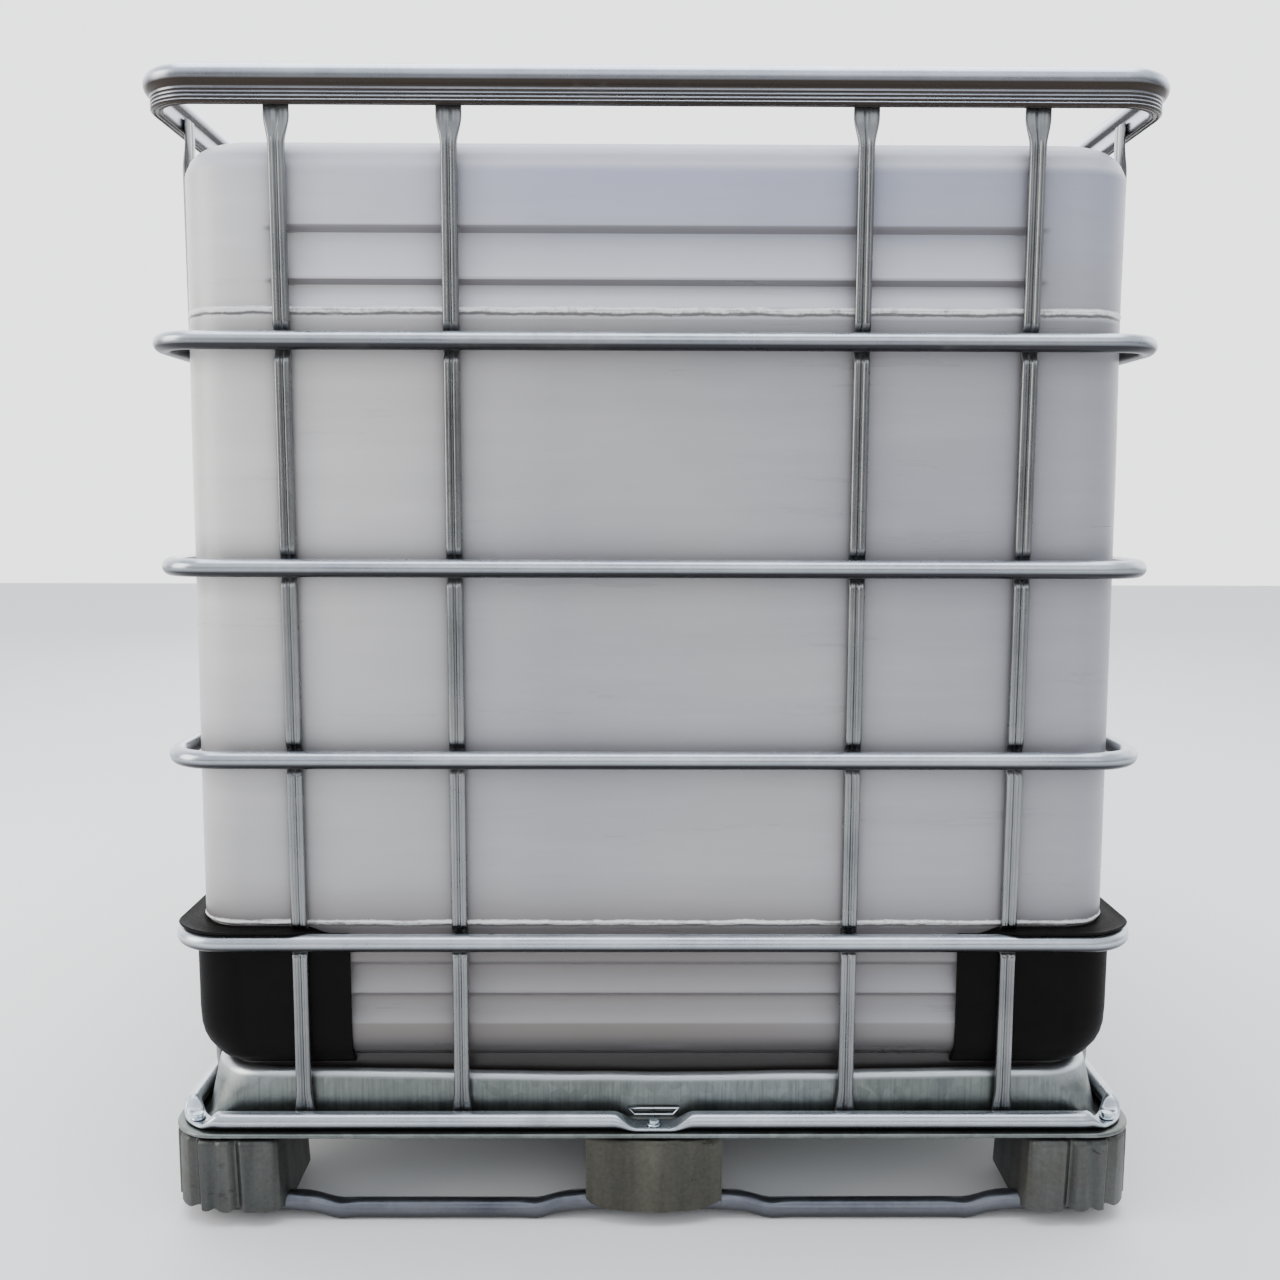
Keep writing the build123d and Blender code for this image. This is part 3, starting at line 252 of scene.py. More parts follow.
# ---------------- materials
class Recipe:
    """A short way to write a node material. Its colour is laid on in layers."""

    def __init__(self, name):
        self.material = bpy.data.materials.new(name)
        self.material.use_nodes = True
        self.nodes = self.material.node_tree.nodes
        self.links = self.material.node_tree.links
        self.nodes.clear()
        self.shader = self.nodes.new("ShaderNodeBsdfPrincipled")
        self.add("OutputMaterial", {"Surface": self.shader.outputs[0]}, None)
        self.where = self.add("TexCoord", {}, "Object")

    @classmethod
    def of_world(cls, world):
        """The same short way for the nodes of the studio's surroundings, by direction."""
        recipe = cls.__new__(cls)
        recipe.nodes = world.node_tree.nodes
        recipe.links = world.node_tree.links
        recipe.where = recipe.add("TexCoord", {}, "Generated")
        return recipe

    def put(self, node, socket, value):
        target = node.inputs[socket]
        if isinstance(value, bpy.types.NodeSocket):
            self.links.new(value, target)
        else:
            target.default_value = value

    def add(self, kind, inputs, output=0, **settings):
        """A new node with its settings and inputs. Gives one of its outputs."""
        node = self.nodes.new("ShaderNode" + kind)
        for setting, value in settings.items():
            setattr(node, setting, value)
        for socket, value in inputs.items():
            self.put(node, socket, value)
        return None if output is None else node.outputs[output]

    def noise(self, scale, detail=4.0, rough=0.55, stretch=None, warp=0.0):
        where = self.where
        if stretch:
            where = self.add("Mapping", {"Vector": where, "Scale": stretch})
        return self.add("TexNoise", {"Vector": where, "Scale": scale, "Detail": detail,
                                     "Roughness": rough, "Distortion": warp}, "Fac")

    def cells(self, scale):
        """Spangle: cells in different greys."""
        shades = self.add("TexVoronoi", {"Vector": self.where, "Scale": scale}, "Color")
        return self.add("RGBToBW", {"Color": shades})

    def ramp(self, value, *stops):
        """The first layer of colour, between (value, colour) stops."""
        node = self.nodes.new("ShaderNodeValToRGB")
        self.put(node, "Fac", value)
        while len(node.color_ramp.elements) < len(stops):
            node.color_ramp.elements.new(0.5)
        for element, (place, colour) in zip(node.color_ramp.elements, stops):
            element.position = place
            element.color = (*colour, 1)
        self.colour = node.outputs["Color"]

    def grey(self, value, low, high, dark=0.0, light=1.0):
        return self.add("MapRange", {"Value": value, "From Min": low, "From Max": high,
                                     "To Min": dark, "To Max": light})

    def mix(self, share, first, second, blend="MIX"):
        first, second = (value if isinstance(value, bpy.types.NodeSocket) else (*value, 1)
                         for value in (first, second))
        return self.add("Mix", {0: share, 6: first, 7: second}, 2, data_type="RGBA",
                        blend_type=blend)

    def layer(self, share, colour, blend="MIX"):
        self.colour = self.mix(share, self.colour, colour, blend)

    def shade(self, value, dark, light):
        """Darkens and lightens the layers so far by a pattern."""
        self.layer(1.0, self.grey(value, 0.3, 0.7, dark, light), "MULTIPLY")

    def corner_shade(self, reach, low, high, most, colour):
        """Painted shade in corners and gaps, found by how open each place is."""
        open_air = self.add("AmbientOcclusion", {"Distance": reach}, "AO", samples=6)
        self.layer(self.grey(open_air, low, high, most, 0.0), colour)

    def math(self, kind, first, second):
        return self.add("Math", {0: first, 1: second}, operation=kind)

    def both(self, first, second):
        return self.math("MULTIPLY", first, second)

    def facing(self, low, high, dark=0.0, light=1.0):
        """How far the surface faces up, as a grey."""
        normal = self.add("NewGeometry", {}, "Normal")
        return self.grey(self.add("SeparateXYZ", {"Vector": normal}, 2), low, high, dark, light)

    def at(self, axis):
        return self.add("SeparateXYZ", {"Vector": self.where}, axis)

    def span(self, axis, low, high, dark=0.0, light=1.0):
        """A grey that runs along an axis."""
        return self.grey(self.at(axis), low, high, dark, light)

    def relief(self, *layers):
        """Bump from (height, strength, distance) layers."""
        below = {}
        for height, strength, distance in layers:
            below = {"Normal": self.add("Bump", {"Strength": strength, "Distance": distance,
                                                 "Height": height, **below})}
        self.put(self.shader, "Normal", below["Normal"])

    def finish(self, **sockets):
        for socket, value in {"Base_Color": self.colour, **sockets}.items():
            self.put(self.shader, socket.replace("_", " "), value)
        return self.material


def galvanised(name, light, dark, under, shine=(0.24, 0.42), grain=(1.4, 1.4, 1.4), bump=0.04,
               reach=0.016):
    """Galvanised steel: cloudy zinc, fine spangle, painted shade below and in corners."""
    zinc = Recipe(name)
    cloud = zinc.noise(7.0, 5.0, 0.6)
    fine = zinc.noise(60.0, 6.0, 0.65, grain)
    zinc.ramp(cloud, (0.32, dark), (0.68, light))
    zinc.layer(0.05, zinc.cells(170.0), "SOFT_LIGHT")
    zinc.shade(fine, 0.93, 1.05)
    # Painted shade: faces that turn down, and in part the upright ones, are darkened towards the
    # under colour.
    zinc.layer(zinc.facing(-0.45, 0.22, 1.0, 0.0), under)
    zinc.layer(zinc.grey(zinc.noise(14.0, 4.0, 0.6), 0.62, 0.78, 0.0, 0.4), (0.09, 0.085, 0.075))
    # Painted shade in corners and gaps.
    zinc.corner_shade(reach, 0.15, 0.85, 0.75, (0.035, 0.032, 0.032))
    zinc.relief((fine, bump, 0.4 * MM), (cloud, 0.06, 1.5 * MM))
    return zinc.finish(Metallic=0.92, Roughness=zinc.grey(cloud, 0.3, 0.7, *shine))


def pan_steel():
    """Zinc sheet: cloudy, greenish, with fine upright drawing marks on its side."""
    zinc = Recipe("pan_steel")
    cloud = zinc.noise(5.0, 6.0, 0.62, warp=0.4)
    drawn = zinc.noise(330.0, 3.0, 0.6, (1.0, 1.0, 0.02))
    mottle = zinc.noise(34.0, 7.0, 0.72)
    zinc.ramp(cloud, (0.30, (0.125, 0.145, 0.14)), (0.50, (0.165, 0.18, 0.168)),
              (0.72, (0.22, 0.245, 0.245)))
    zinc.layer(0.22, zinc.cells(95.0), "SOFT_LIGHT")
    zinc.shade(mottle, 0.88, 1.1)
    side = zinc.facing(0.2, 0.6, 1.0, 0.0)
    zinc.layer(zinc.both(side, zinc.grey(drawn, 0.46, 0.66, 0.12, 0.50)), (0.07, 0.08, 0.08))
    # Painted highlight: a pale band on the upward faces of the pan's rounded rim.
    crown = zinc.span(2, PAN_RIM_Z - 20 * MM, PAN_RIM_Z - 6 * MM)
    zinc.layer(zinc.both(crown, zinc.facing(0.1, 0.6, 0.0, 0.85)), (0.66, 0.70, 0.72))
    # Painted shade in corners and gaps.
    zinc.corner_shade(0.016, 0.1, 0.75, 0.8, (0.025, 0.022, 0.022))
    zinc.relief((drawn, 0.12, 0.5 * MM), (cloud, 0.3, 3 * MM), (mottle, 0.08, 0.5 * MM))
    return zinc.finish(Metallic=0.9, Roughness=zinc.grey(mottle, 0.25, 0.75, 0.26, 0.48))


def foot_steel(name, light, dark, tint):
    """Dull pressed sheet with soft upright bands, a warm tint and dark scuffs."""
    dull = Recipe(name)
    bands = dull.noise(26.0, 3.0, 0.6, (1.0, 1.0, 0.08))
    cloud = dull.noise(14.0, 6.0, 0.65)
    fine = dull.noise(240.0, 4.0, 0.6)
    dull.ramp(bands, (0.35, dark), (0.66, light))
    dull.layer(dull.grey(cloud, 0.5, 0.72, 0.0, 0.6), tint)
    dull.shade(fine, 0.86, 1.12)
    scuffs = dull.noise(42.0, 8.0, 0.75, (1.0, 1.0, 1.6))
    patch = dull.grey(dull.noise(11.0, 2.0), 0.48, 0.6)
    dull.layer(dull.both(dull.grey(scuffs, 0.58, 0.68, 0.0, 0.9), patch), (0.018, 0.016, 0.014))
    # Painted shade in corners and gaps.
    dull.corner_shade(0.02, 0.1, 0.8, 0.7, (0.02, 0.02, 0.02))
    dull.relief((fine, 0.06, 0.3 * MM), (cloud, 0.2, 1.5 * MM), (bands, 0.1, 1 * MM))
    return dull.finish(Metallic=0.85, Roughness=dull.grey(cloud, 0.3, 0.7, 0.34, 0.52))


def zinc_hardware():
    zinc = Recipe("zinc_hardware")
    fine = zinc.noise(420.0, 5.0, 0.6)
    zinc.ramp(zinc.noise(60.0, 3.0, 0.5), (0.35, (0.42, 0.50, 0.57)), (0.65, (0.68, 0.76, 0.82)))
    # Painted shade in corners and gaps.
    zinc.corner_shade(0.008, 0.2, 0.9, 0.8, (0.04, 0.04, 0.045))
    zinc.relief((fine, 0.1, 0.2 * MM))
    return zinc.finish(Metallic=1.0, Roughness=zinc.grey(fine, 0.3, 0.7, 0.18, 0.34))


def bottle_plastic():
    """Milky natural polyethylene, a little translucent, with flow marks, scuffs, painted light and
    shade.
    """
    milky = Recipe("bottle_plastic")
    cloud = milky.noise(2.2, 3.0, 0.5)
    flow = milky.noise(9.0, 5.0, 0.6, (0.5, 0.5, 5.0))
    fine = milky.noise(520.0, 3.0, 0.6)
    milky.ramp(cloud, (0.35, (0.325, 0.325, 0.35)), (0.65, (0.39, 0.382, 0.388)))
    # Painted reflection: a bluish sky reflection on the shoulder, growing towards the top.
    milky.layer(milky.span(2, BOTTLE_TOP_Z - 0.16, BOTTLE_TOP_Z - 0.02, 0.0, 0.8),
                (0.39, 0.42, 0.57))
    # Painted shade: the lower band is darkened towards a warm grey.
    milky.layer(milky.span(2, RING_Z[3] - 0.01, RING_Z[3] + 0.07, 0.9, 0.0), (0.155, 0.138, 0.126))
    # Painted light: a warm glow towards the left edge, fading out towards the bottom.
    glow = milky.both(milky.span(0, -HALF_X, -0.10, 0.85, 0.0), milky.span(2, RING_Z[3], RING_Z[1]))
    milky.layer(glow, (0.74, 0.72, 0.69))
    # Painted shade: the right side is darkened towards a cool grey.
    milky.layer(milky.span(0, 0.02, HALF_X, 0.0, 0.6), (0.275, 0.28, 0.31))
    milky.shade(flow, 0.95, 1.04)
    scuffs = milky.noise(16.0, 9.0, 0.8, (1.0, 1.0, 3.0))
    patch = milky.grey(milky.noise(3.0, 2.0), 0.5, 0.6)
    milky.layer(milky.both(milky.grey(scuffs, 0.60, 0.70, 0.0, 0.35), patch), (0.35, 0.33, 0.32))
    # Painted shade: faces that turn down, such as the pleats' undersides, are darkened.
    milky.layer(milky.facing(-0.30, -0.03, 0.85, 0.0), (0.12, 0.115, 0.12))
    # Painted highlight: slopes that turn up are lightened, flat tops and the lower band less.
    above = milky.both(milky.facing(0.03, 0.34, 0.0, 0.8), milky.facing(0.55, 0.9, 1.0, 0.15))
    above = milky.both(above, milky.span(2, RING_Z[3], RING_Z[2], 0.3, 1.0))
    milky.layer(above, (0.68, 0.69, 0.75))
    # Painted shade in corners and gaps.
    milky.corner_shade(0.035, 0.3, 0.95, 0.8, (0.13, 0.12, 0.125))
    # Painted shadow: the heel, where the bottle sits in the pan, is darkened nearly black.
    milky.layer(milky.span(2, BOTTLE_BOTTOM + 40 * MM, BOTTLE_BOTTOM + 88 * MM, 0.96, 0.0),
                (0.012, 0.009, 0.008))
    wobble = milky.grey(milky.noise(26.0, 5.0, 0.7), 0.3, 0.7, -1.6 * MM, 1.6 * MM)
    level = milky.math("ADD", milky.at(2), wobble)
    ragged = milky.grey(milky.noise(75.0, 4.0, 0.7), 0.34, 0.5, 0.35, 1.0)
    for seam, strength in ((SEAM_LOW, 0.9), (SEAM_HIGH, 1.0)):
        # Each seam gets a painted shade line in the crease under it, and its own whitish colour on
        # the seam itself.
        for drop, wide, paint in ((-4.2, 1.6, (0.16, 0.15, 0.15)), (0.0, 3.0, (0.97, 0.97, 0.96))):
            away = milky.math("ABSOLUTE", milky.math("SUBTRACT", level, seam + drop * MM), 0.0)
            share = milky.grey(away, wide * 0.55 * MM, wide * MM, strength, 0.0)
            milky.layer(milky.both(share, ragged), paint)
    milky.relief((fine, 0.03, 0.2 * MM), (flow, 0.12, 1 * MM), (cloud, 0.3, 8 * MM))
    return milky.finish(Roughness=milky.grey(flow, 0.3, 0.7, 0.26, 0.38), Subsurface_Weight=0.12,
                        Subsurface_Radius=(0.02, 0.018, 0.016), Subsurface_Scale=1.0,
                        Specular_IOR_Level=0.4)


def moulded(name, dark, light, rough_span=(0.38, 0.55), wear=0.25, gloss=0.35):
    """A moulded plastic with a fine grain, faint flow and paler rubbed spots."""
    plastic = Recipe(name)
    fine = plastic.noise(380.0, 4.0, 0.6)
    cloud = plastic.noise(9.0, 4.0, 0.6)
    plastic.ramp(cloud, (0.35, dark), (0.7, light))
    rubbed = plastic.both(plastic.grey(plastic.noise(48.0, 7.0, 0.75), 0.6, 0.72),
                          plastic.facing(0.2, 0.9, 0.1, 1.0))
    plastic.layer(plastic.both(rubbed, wear),
                  tuple(min(channel * 2.2 + 0.05, 1.0) for channel in light))
    plastic.relief((fine, 0.12, 0.25 * MM), (cloud, 0.12, 2 * MM))
    return plastic.finish(Roughness=plastic.grey(fine, 0.3, 0.7, *rough_span),
                          Specular_IOR_Level=gloss)


# ---------------- cage
def rim_section():
    """The rim's tube: a round bulge over a flat skirt, with fine grooves on its outside and
    below. Measured from the outer face and the top."""
    radius = 11 * MM
    turns = np.linspace(math.radians(-60), math.radians(228), 30)
    points = [(-radius + radius * math.cos(t), -radius + radius * math.sin(t)) for t in turns]
    inner, outer, low = -18 * MM, -6 * MM, RIM_BOTTOM - TOP_Z
    soft = 1.8 * MM
    for up in np.linspace(-22 * MM, low + soft, 4):
        points.append((inner, up))
    for out in np.linspace(inner + soft, outer - soft, 15):
        groove = bump_at(-14.2 * MM, 0.9 * MM, out) + bump_at(-9.8 * MM, 0.9 * MM, out)
        points.append((out, low + 1.6 * MM * groove))
    for up in np.linspace(low + soft, -22 * MM, 22):
        groove = sum(bump_at(level, 0.75 * MM, up) for level in (-24.5 * MM, -28 * MM, -31.5 * MM))
        points.append((outer - 1.1 * MM * groove, up))
    return [(out, up + TOP_Z) for out, up in points]


def make_rim(material):
    shape = ring_sweep(CAGE_INSET, CAGE_BEND + 1 * MM, rim_section(), arc=20)
    piece("rim_tube", shape, material, ["top_rim"], sharp=50)


def crossings():
    """Where the uprights stand: (along, side) with side 0 rear, 1 right, 2 front, 3 left."""
    spots = []
    for side, node in UPRIGHTS:
        low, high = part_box(node)
        spots.append(((low[side % 2] + high[side % 2]) / 2, side))
    return spots


def on_side(along, side, inset, height):
    """A point inset from one side's edge of the pallet."""
    if side == 0:
        return (along, -HALF_Y + inset, height)
    if side == 2:
        return (along, HALF_Y - inset, height)
    return ((HALF_X - inset) * (1 if side == 1 else -1), along, height)


def make_rings(material):
    """The open rings with a small weld above and below each upright that they cross."""
    for name, level in zip(RINGS, RING_Z):
        section = circle(RING_R, 28, (0.0, level))
        parts = [ring_sweep(RING_LINE, RING_BEND, section, across=7, arc=18)]
        for index, (along, side) in enumerate(crossings()):
            wide, deep, tall = 3.0 * MM, 2.2 * MM, 2.4 * MM
            size = (deep, wide, tall) if side % 2 else (wide, deep, tall)
            for edge in (-1, 1):
                for end in (-1, 1):
                    spot = on_side(along + edge * 5.5 * MM, side, RING_BACK - 1.6 * MM,
                                   level + end * 5.2 * MM)
                    parts.append(blob(spot, size, index * 2.3 + edge + end * 0.7))
        piece(name + "_tube", merge(parts), material, [name], sharp=60)


def screw_places():
    """Middle of each screw that holds the bottom ring: four corners, then four sides."""
    into = RING_LINE + RING_BEND * (1 - math.cos(math.pi / 4))
    corners = [(x * (HALF_X - into), y * (HALF_Y - into)) for x in (-1, 1) for y in (-1, 1)]
    return corners, [(0, RING_LINE - HALF_Y), (0, HALF_Y - RING_LINE),
                     (RING_LINE - HALF_X, 0), (HALF_X - RING_LINE, 0)]


def make_bottom_ring(material):
    """The lowest ring lies on the pan's flange and is pressed flat like a spoon at each screw. A
    raised ridge stands on the pan's wall behind each middle screw."""
    corners, middles = screw_places()
    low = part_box("bottom_ring")[0][2]
    flat = 4.6 * MM
    steps = spread((-1, 0), (-0.20, 8), (0.20, 40), (1, 8))
    points, normals = inset_outline(RING_LINE, RING_BEND, steps, 30)
    turns = full_turn(32)
    rings = []
    for point, normal in zip(points, normals):
        near = min(math.dist(point, spot) for spot in corners) / (17 * MM)
        near = min(near, min(math.dist(point, spot) for spot in middles) / (24 * MM))
        press = float(1 - ease(0.72, 1.7, near))
        tall = (1 - press) * 2 * RING_R + press * flat
        power = 1 - 0.45 * press
        out = squared(np.cos(turns), power) * (RING_R * (1 + 0.18 * press))
        up = (squared(np.sin(turns), power) + 1) / 2 * tall
        dish = press * 1.3 * MM * bump_at(0, 0.55 * RING_R, out) * (np.sin(turns) > 0)
        out = out - press * 1.5 * MM
        rings.append(np.column_stack([point[0] + normal[0] * out, point[1] + normal[1] * out,
                                      low + up - dish * 0.6]))
    parts = [loft(rings, cyclic=True)]
    ridge = [(along * MM, low + up * MM) for along, up in spread_line(
        [(-26, 14.5), (-20, 8.0), (20, 8.0), (26, 14.5), (-26, 14.5)], 7)]
    for side in range(4):
        rings = []
        for i, (along, up) in enumerate(ridge[:-1]):
            ahead = np.array(ridge[(i + 1) % (len(ridge) - 1)]) - np.array(ridge[i - 1])
            ahead /= np.linalg.norm(ahead)
            loop = []
            for t in full_turn(8):
                shift = 1.3 * MM * math.cos(t)
                loop.append(on_side(along + ahead[1] * shift, side,
                                    UPRIGHT_BACK + 0.6 * MM + 1.6 * MM * math.sin(t),
                                    up - ahead[0] * shift))
            rings.append(loop)
        parts.append(loft(rings, cyclic=True))
    piece("bottom_ring_tube", merge(parts), material, ["bottom_ring"], sharp=50)


def make_uprights(material):
    """Each upright is a tube with two lobes, pressed flat behind the rings and at both ends."""
    right_half = np.array([0, .1, .18, .24, .3, .38, .48, .6, .74, .86, .94, .985, 1])
    u = np.concatenate([-right_half[:0:-1], right_half])
    round_half = np.clip(1 - np.abs(u) ** 2.8, 0, 1) ** (1 / 2.8)
    not_edge = np.abs(u) < 0.95
    tips = np.array([0.0, 2, 6, 12]) * MM
    first, last = (corner[2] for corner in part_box("rear_upright_1"))
    spans = [first + tips, np.linspace(first + 12 * MM, first + 52 * MM, 10),
             last - tips, np.linspace(last - 64 * MM, last - 22 * MM, 12),
             np.linspace(first + 60 * MM, last - 70 * MM, 30)]
    spans += [level + np.linspace(-32 * MM, 32 * MM, 17) for level in RING_Z]
    heights = sorted(set(np.round(np.concatenate(spans), 5)))
    for side, node in UPRIGHTS:
        low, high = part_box(node)
        axis = side % 2
        rings = []
        for z in heights:
            ring_flat = max(float(1 - ease(9 * MM, 17 * MM, abs(z - level))) for level in RING_Z)
            end_flat = max(float(1 - ease(8 * MM, 40 * MM, z - low[2])) * 0.6,
                           float(1 - ease(20 * MM, 48 * MM, high[2] - z)))
            press = max(ring_flat, end_flat)
            half_w = (8 + 0.4 * ring_flat + 4.4 * end_flat) * MM
            thick = (9.4 - 5.0 * press) * MM
            tip = float(ease(-0.5 * MM, 5 * MM, min(z - low[2], high[2] - z)))
            half_w *= 0.86 + 0.14 * tip
            valley = (2.4 * bump_at(0, 0.22, u) + 0.8 * bump_at(-0.48, 0.07, u)
                      + 0.8 * bump_at(0.48, 0.07, u)) * MM * (1 - 0.55 * press)
            body = round_half * thick / 2
            front = thick / 2 + body - valley * not_edge
            back = thick / 2 - body + valley * 0.4 * not_edge
            across = np.concatenate([u, u[-2:0:-1]]) * half_w
            depth = np.concatenate([front, back[-2:0:-1]])
            along = (low[axis] + high[axis]) / 2 + (across if side < 2 else -across)
            face = high[1 - axis] - depth if side in (0, 3) else low[1 - axis] + depth
            rings.append(level_loop(*((face, along) if axis else (along, face)), z))
        piece(node + "_tube", loft(rings), material, [node], sharp=60)


# ---------------- bottle
def groove_depth(z, middle, deep, reach):
    """A pleat: sharp under its upper lip, then swelling slowly out again over reach."""
    upper = float(1 - ease(middle, middle + 6 * MM, z))
    down = min(max((middle - z) / reach, 0.0), 1.0)
    return deep * upper * (1 - down ** 1.7) * float(z > middle - reach)


def make_bottle(material):
    """The blow-moulded bottle as one skin: base, lower band with the valve's recess, grooves,
    the two rough seams, shoulder, deck and neck."""
    band_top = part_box("corner_guard_rear_left")[1][2] + 0.5 * MM
    # Grooves: height, depth, reach of the swell below, and whether the front has them too.
    grooves = [(BOTTLE_TOP_Z - 89.5 * MM, 7 * MM, 43 * MM, True),
               (BOTTLE_TOP_Z - 138.5 * MM, 7 * MM, 21 * MM, True),
               (BOTTLE_BOTTOM + 114 * MM, 6.5 * MM, 27 * MM, False),
               (BOTTLE_BOTTOM + 147 * MM, 6.5 * MM, 27 * MM, False)]
    guard_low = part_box("corner_guard_rear_left")[0][2]
    flush = 2.2 * MM                    # the upper shoulder, in from the bottle's side
    groove_end = 109 * MM               # where the grooves stop before each corner
    recess_top = VALVE_Z + 108 * MM
    recess_y = HALF_Y - BOTTLE_IN - 140 * MM
    full_x, full_y = HALF_X - BOTTLE_IN, HALF_Y - BOTTLE_IN

    across = spread((-1, 0), (-0.82, 8), (-0.30, 14), (-0.22, 14), (0.22, 16), (0.30, 14),
                    (0.82, 14), (1, 8))
    along = spread((-1, 0), (-0.80, 8), (0.80, 40), (1, 8))

    def turn_in(low, radius, z):
        """How far a rounded edge at the bottom goes in at height z."""
        t = np.clip((low + radius - z) / radius, 0, 1)
        return radius * (1 - math.sqrt(max(1 - t * t, 0)))

    rows = []          # (height, inset from the bottle's side, bend)
    base_in = 50.3 * MM - BOTTLE_IN
    for z in spread((BOTTLE_BOTTOM, 0), (BOTTLE_BOTTOM + 10 * MM, 5), (guard_low + 2 * MM, 4)):
        rows.append((z, base_in + turn_in(BOTTLE_BOTTOM, 10 * MM, z), 41 * MM))
    heel = guard_low + 5 * MM
    for z in spread((heel + 0.5 * MM, 0), (heel + 30 * MM, 10), (band_top, 90)):
        rows.append((z, 2.6 * MM + min(turn_in(heel, 30 * MM, z), base_in - 2.6 * MM),
                     BOTTLE_BEND - 14 * MM))
    stops = spread((band_top + 0.6 * MM, 0), (SEAM_LOW - 2 * MM, 3), (SEAM_LOW + 3 * MM, 8),
                   (SEAM_LOW + 20 * MM, 4), (SEAM_HIGH - 20 * MM, 40), (SEAM_HIGH - 3 * MM, 5),
                   (SEAM_HIGH + 3 * MM, 9), (grooves[1][0] - 28 * MM, 2),
                   (BOTTLE_TOP_Z - 34 * MM, 84))
    for z in stops:
        rows.append((z, flush * float(ease(0.75, 1.04, z)),
                     BOTTLE_BEND - 12 * MM * float(1 - ease(0.32, 0.95, z))))
    shoulder = 34 * MM
    for turn in np.linspace(0.06, 1, 16) * math.pi / 2:
        into = shoulder * (1 - math.cos(turn))
        rows.append((BOTTLE_TOP_Z - shoulder + shoulder * math.sin(turn),
                     flush + into, BOTTLE_BEND - 0.45 * into))

    rings = []
    for z, inset, bend in rows:
        points, normals = outline(full_x - inset, full_y - inset, bend, across, along, 16)
        end = np.abs(normals[:, 1]) >= np.abs(normals[:, 0])
        reach = np.where(end, np.abs(points[:, 0]), np.abs(points[:, 1]))
        limit = np.where(end, full_x, full_y) - groove_end
        fade = 1 - ease(limit - 10 * MM, limit + 14 * MM, reach)
        out = np.zeros(len(points))
        for level, deep, reach_down, front_too in grooves:
            here = fade * (front_too | (normals[:, 1] < 0.5))
            out -= groove_depth(z, level, deep, reach_down) * here
        out -= 0.9 * MM * bump_at(BOTTLE_TOP_Z - 22 * MM, 3 * MM, z)
        round_it = points[:, 0] + points[:, 1] * 0.83
        swell = float(ease(0, 1, np.sin((z - 0.3) * 4)))
        out -= 0.8 * MM * (1 + ripple((round_it, 9, 0.4), (round_it, 17, z * 7))) * swell
        for level in (SEAM_LOW, SEAM_HIGH):
            wander = MM * ripple((round_it, 61, 0.3), (round_it, 143, 1.9),
                                 (round_it, 23, level))
            lump = 0.75 + 0.35 * ripple((round_it, 260, 0.2), (round_it, 430, 1.1))
            line = bump_at(0, 0.95 * MM, z - level - wander)
            crease = bump_at(0, 1.6 * MM, z - level - wander + 3.0 * MM)
            out += (1.5 * lump * line - 1.3 * crease) * MM
        out = np.minimum(out, 0.9 * MM)
        ring = place_loop(points, normals, out, z)
        if z < recess_top + 1 * MM:
            into = (1 - ease(99 * MM, 107 * MM, np.abs(ring[:, 0]))) * (ring[:, 1] > 0.3)
            into = into * float(1 - ease(recess_top - 5 * MM, recess_top, z))
            ring[:, 1] = ring[:, 1] * (1 - into) + recess_y * into
        rings.append(ring)

    last = rings[-1]
    angle = np.arctan2(last[:, 1], last[:, 0])
    around = np.column_stack([np.cos(angle), np.sin(angle)])

    def neck_loop(radius, z, share=1.0):
        flat = last[:, :2] * (1 - share) + around * radius * share
        return level_loop(*flat.T, z)

    for share, drop in ((0.12, 0.0), (0.35, 1.5), (0.6, 2.0), (0.85, 1.0), (1.0, 0.0)):
        rings.append(neck_loop(112 * MM, BOTTLE_TOP_Z - drop * MM, share))
    for radius, rise in ((107, 1.2), (104, 4.2), (101, 5.0), (84, 5.0), (80, 6.5), (78, 9.5),
                         (75, 10.5), (75, 32.2), (74.2, 33.0), (71.8, 33.0), (71, 32.2),
                         (71, -25.0)):
        rings.append(neck_loop(radius * MM, BOTTLE_TOP_Z + rise * MM))
    skin = loft(rings)
    outlet = []
    face_y = recess_y + 36 * MM
    for y, radius in ((recess_y - 3 * MM, 36), (recess_y + 1 * MM, 33), (recess_y + 4 * MM, 30.6),
                      (recess_y + 8 * MM, 30), (face_y - 0.6 * MM, 30), (face_y, 29.4),
                      (face_y, 25.6), (face_y - 0.6 * MM, 25), (recess_y + 2 * MM, 25)):
        ring = circle(radius * MM, 40)
        outlet.append(np.column_stack([ring[:, 0], np.full(40, y), VALVE_Z + ring[:, 1]]))
    piece("bottle_skin", merge([skin, loft(outlet)]), material, ["bottle"],
          sharp=42)


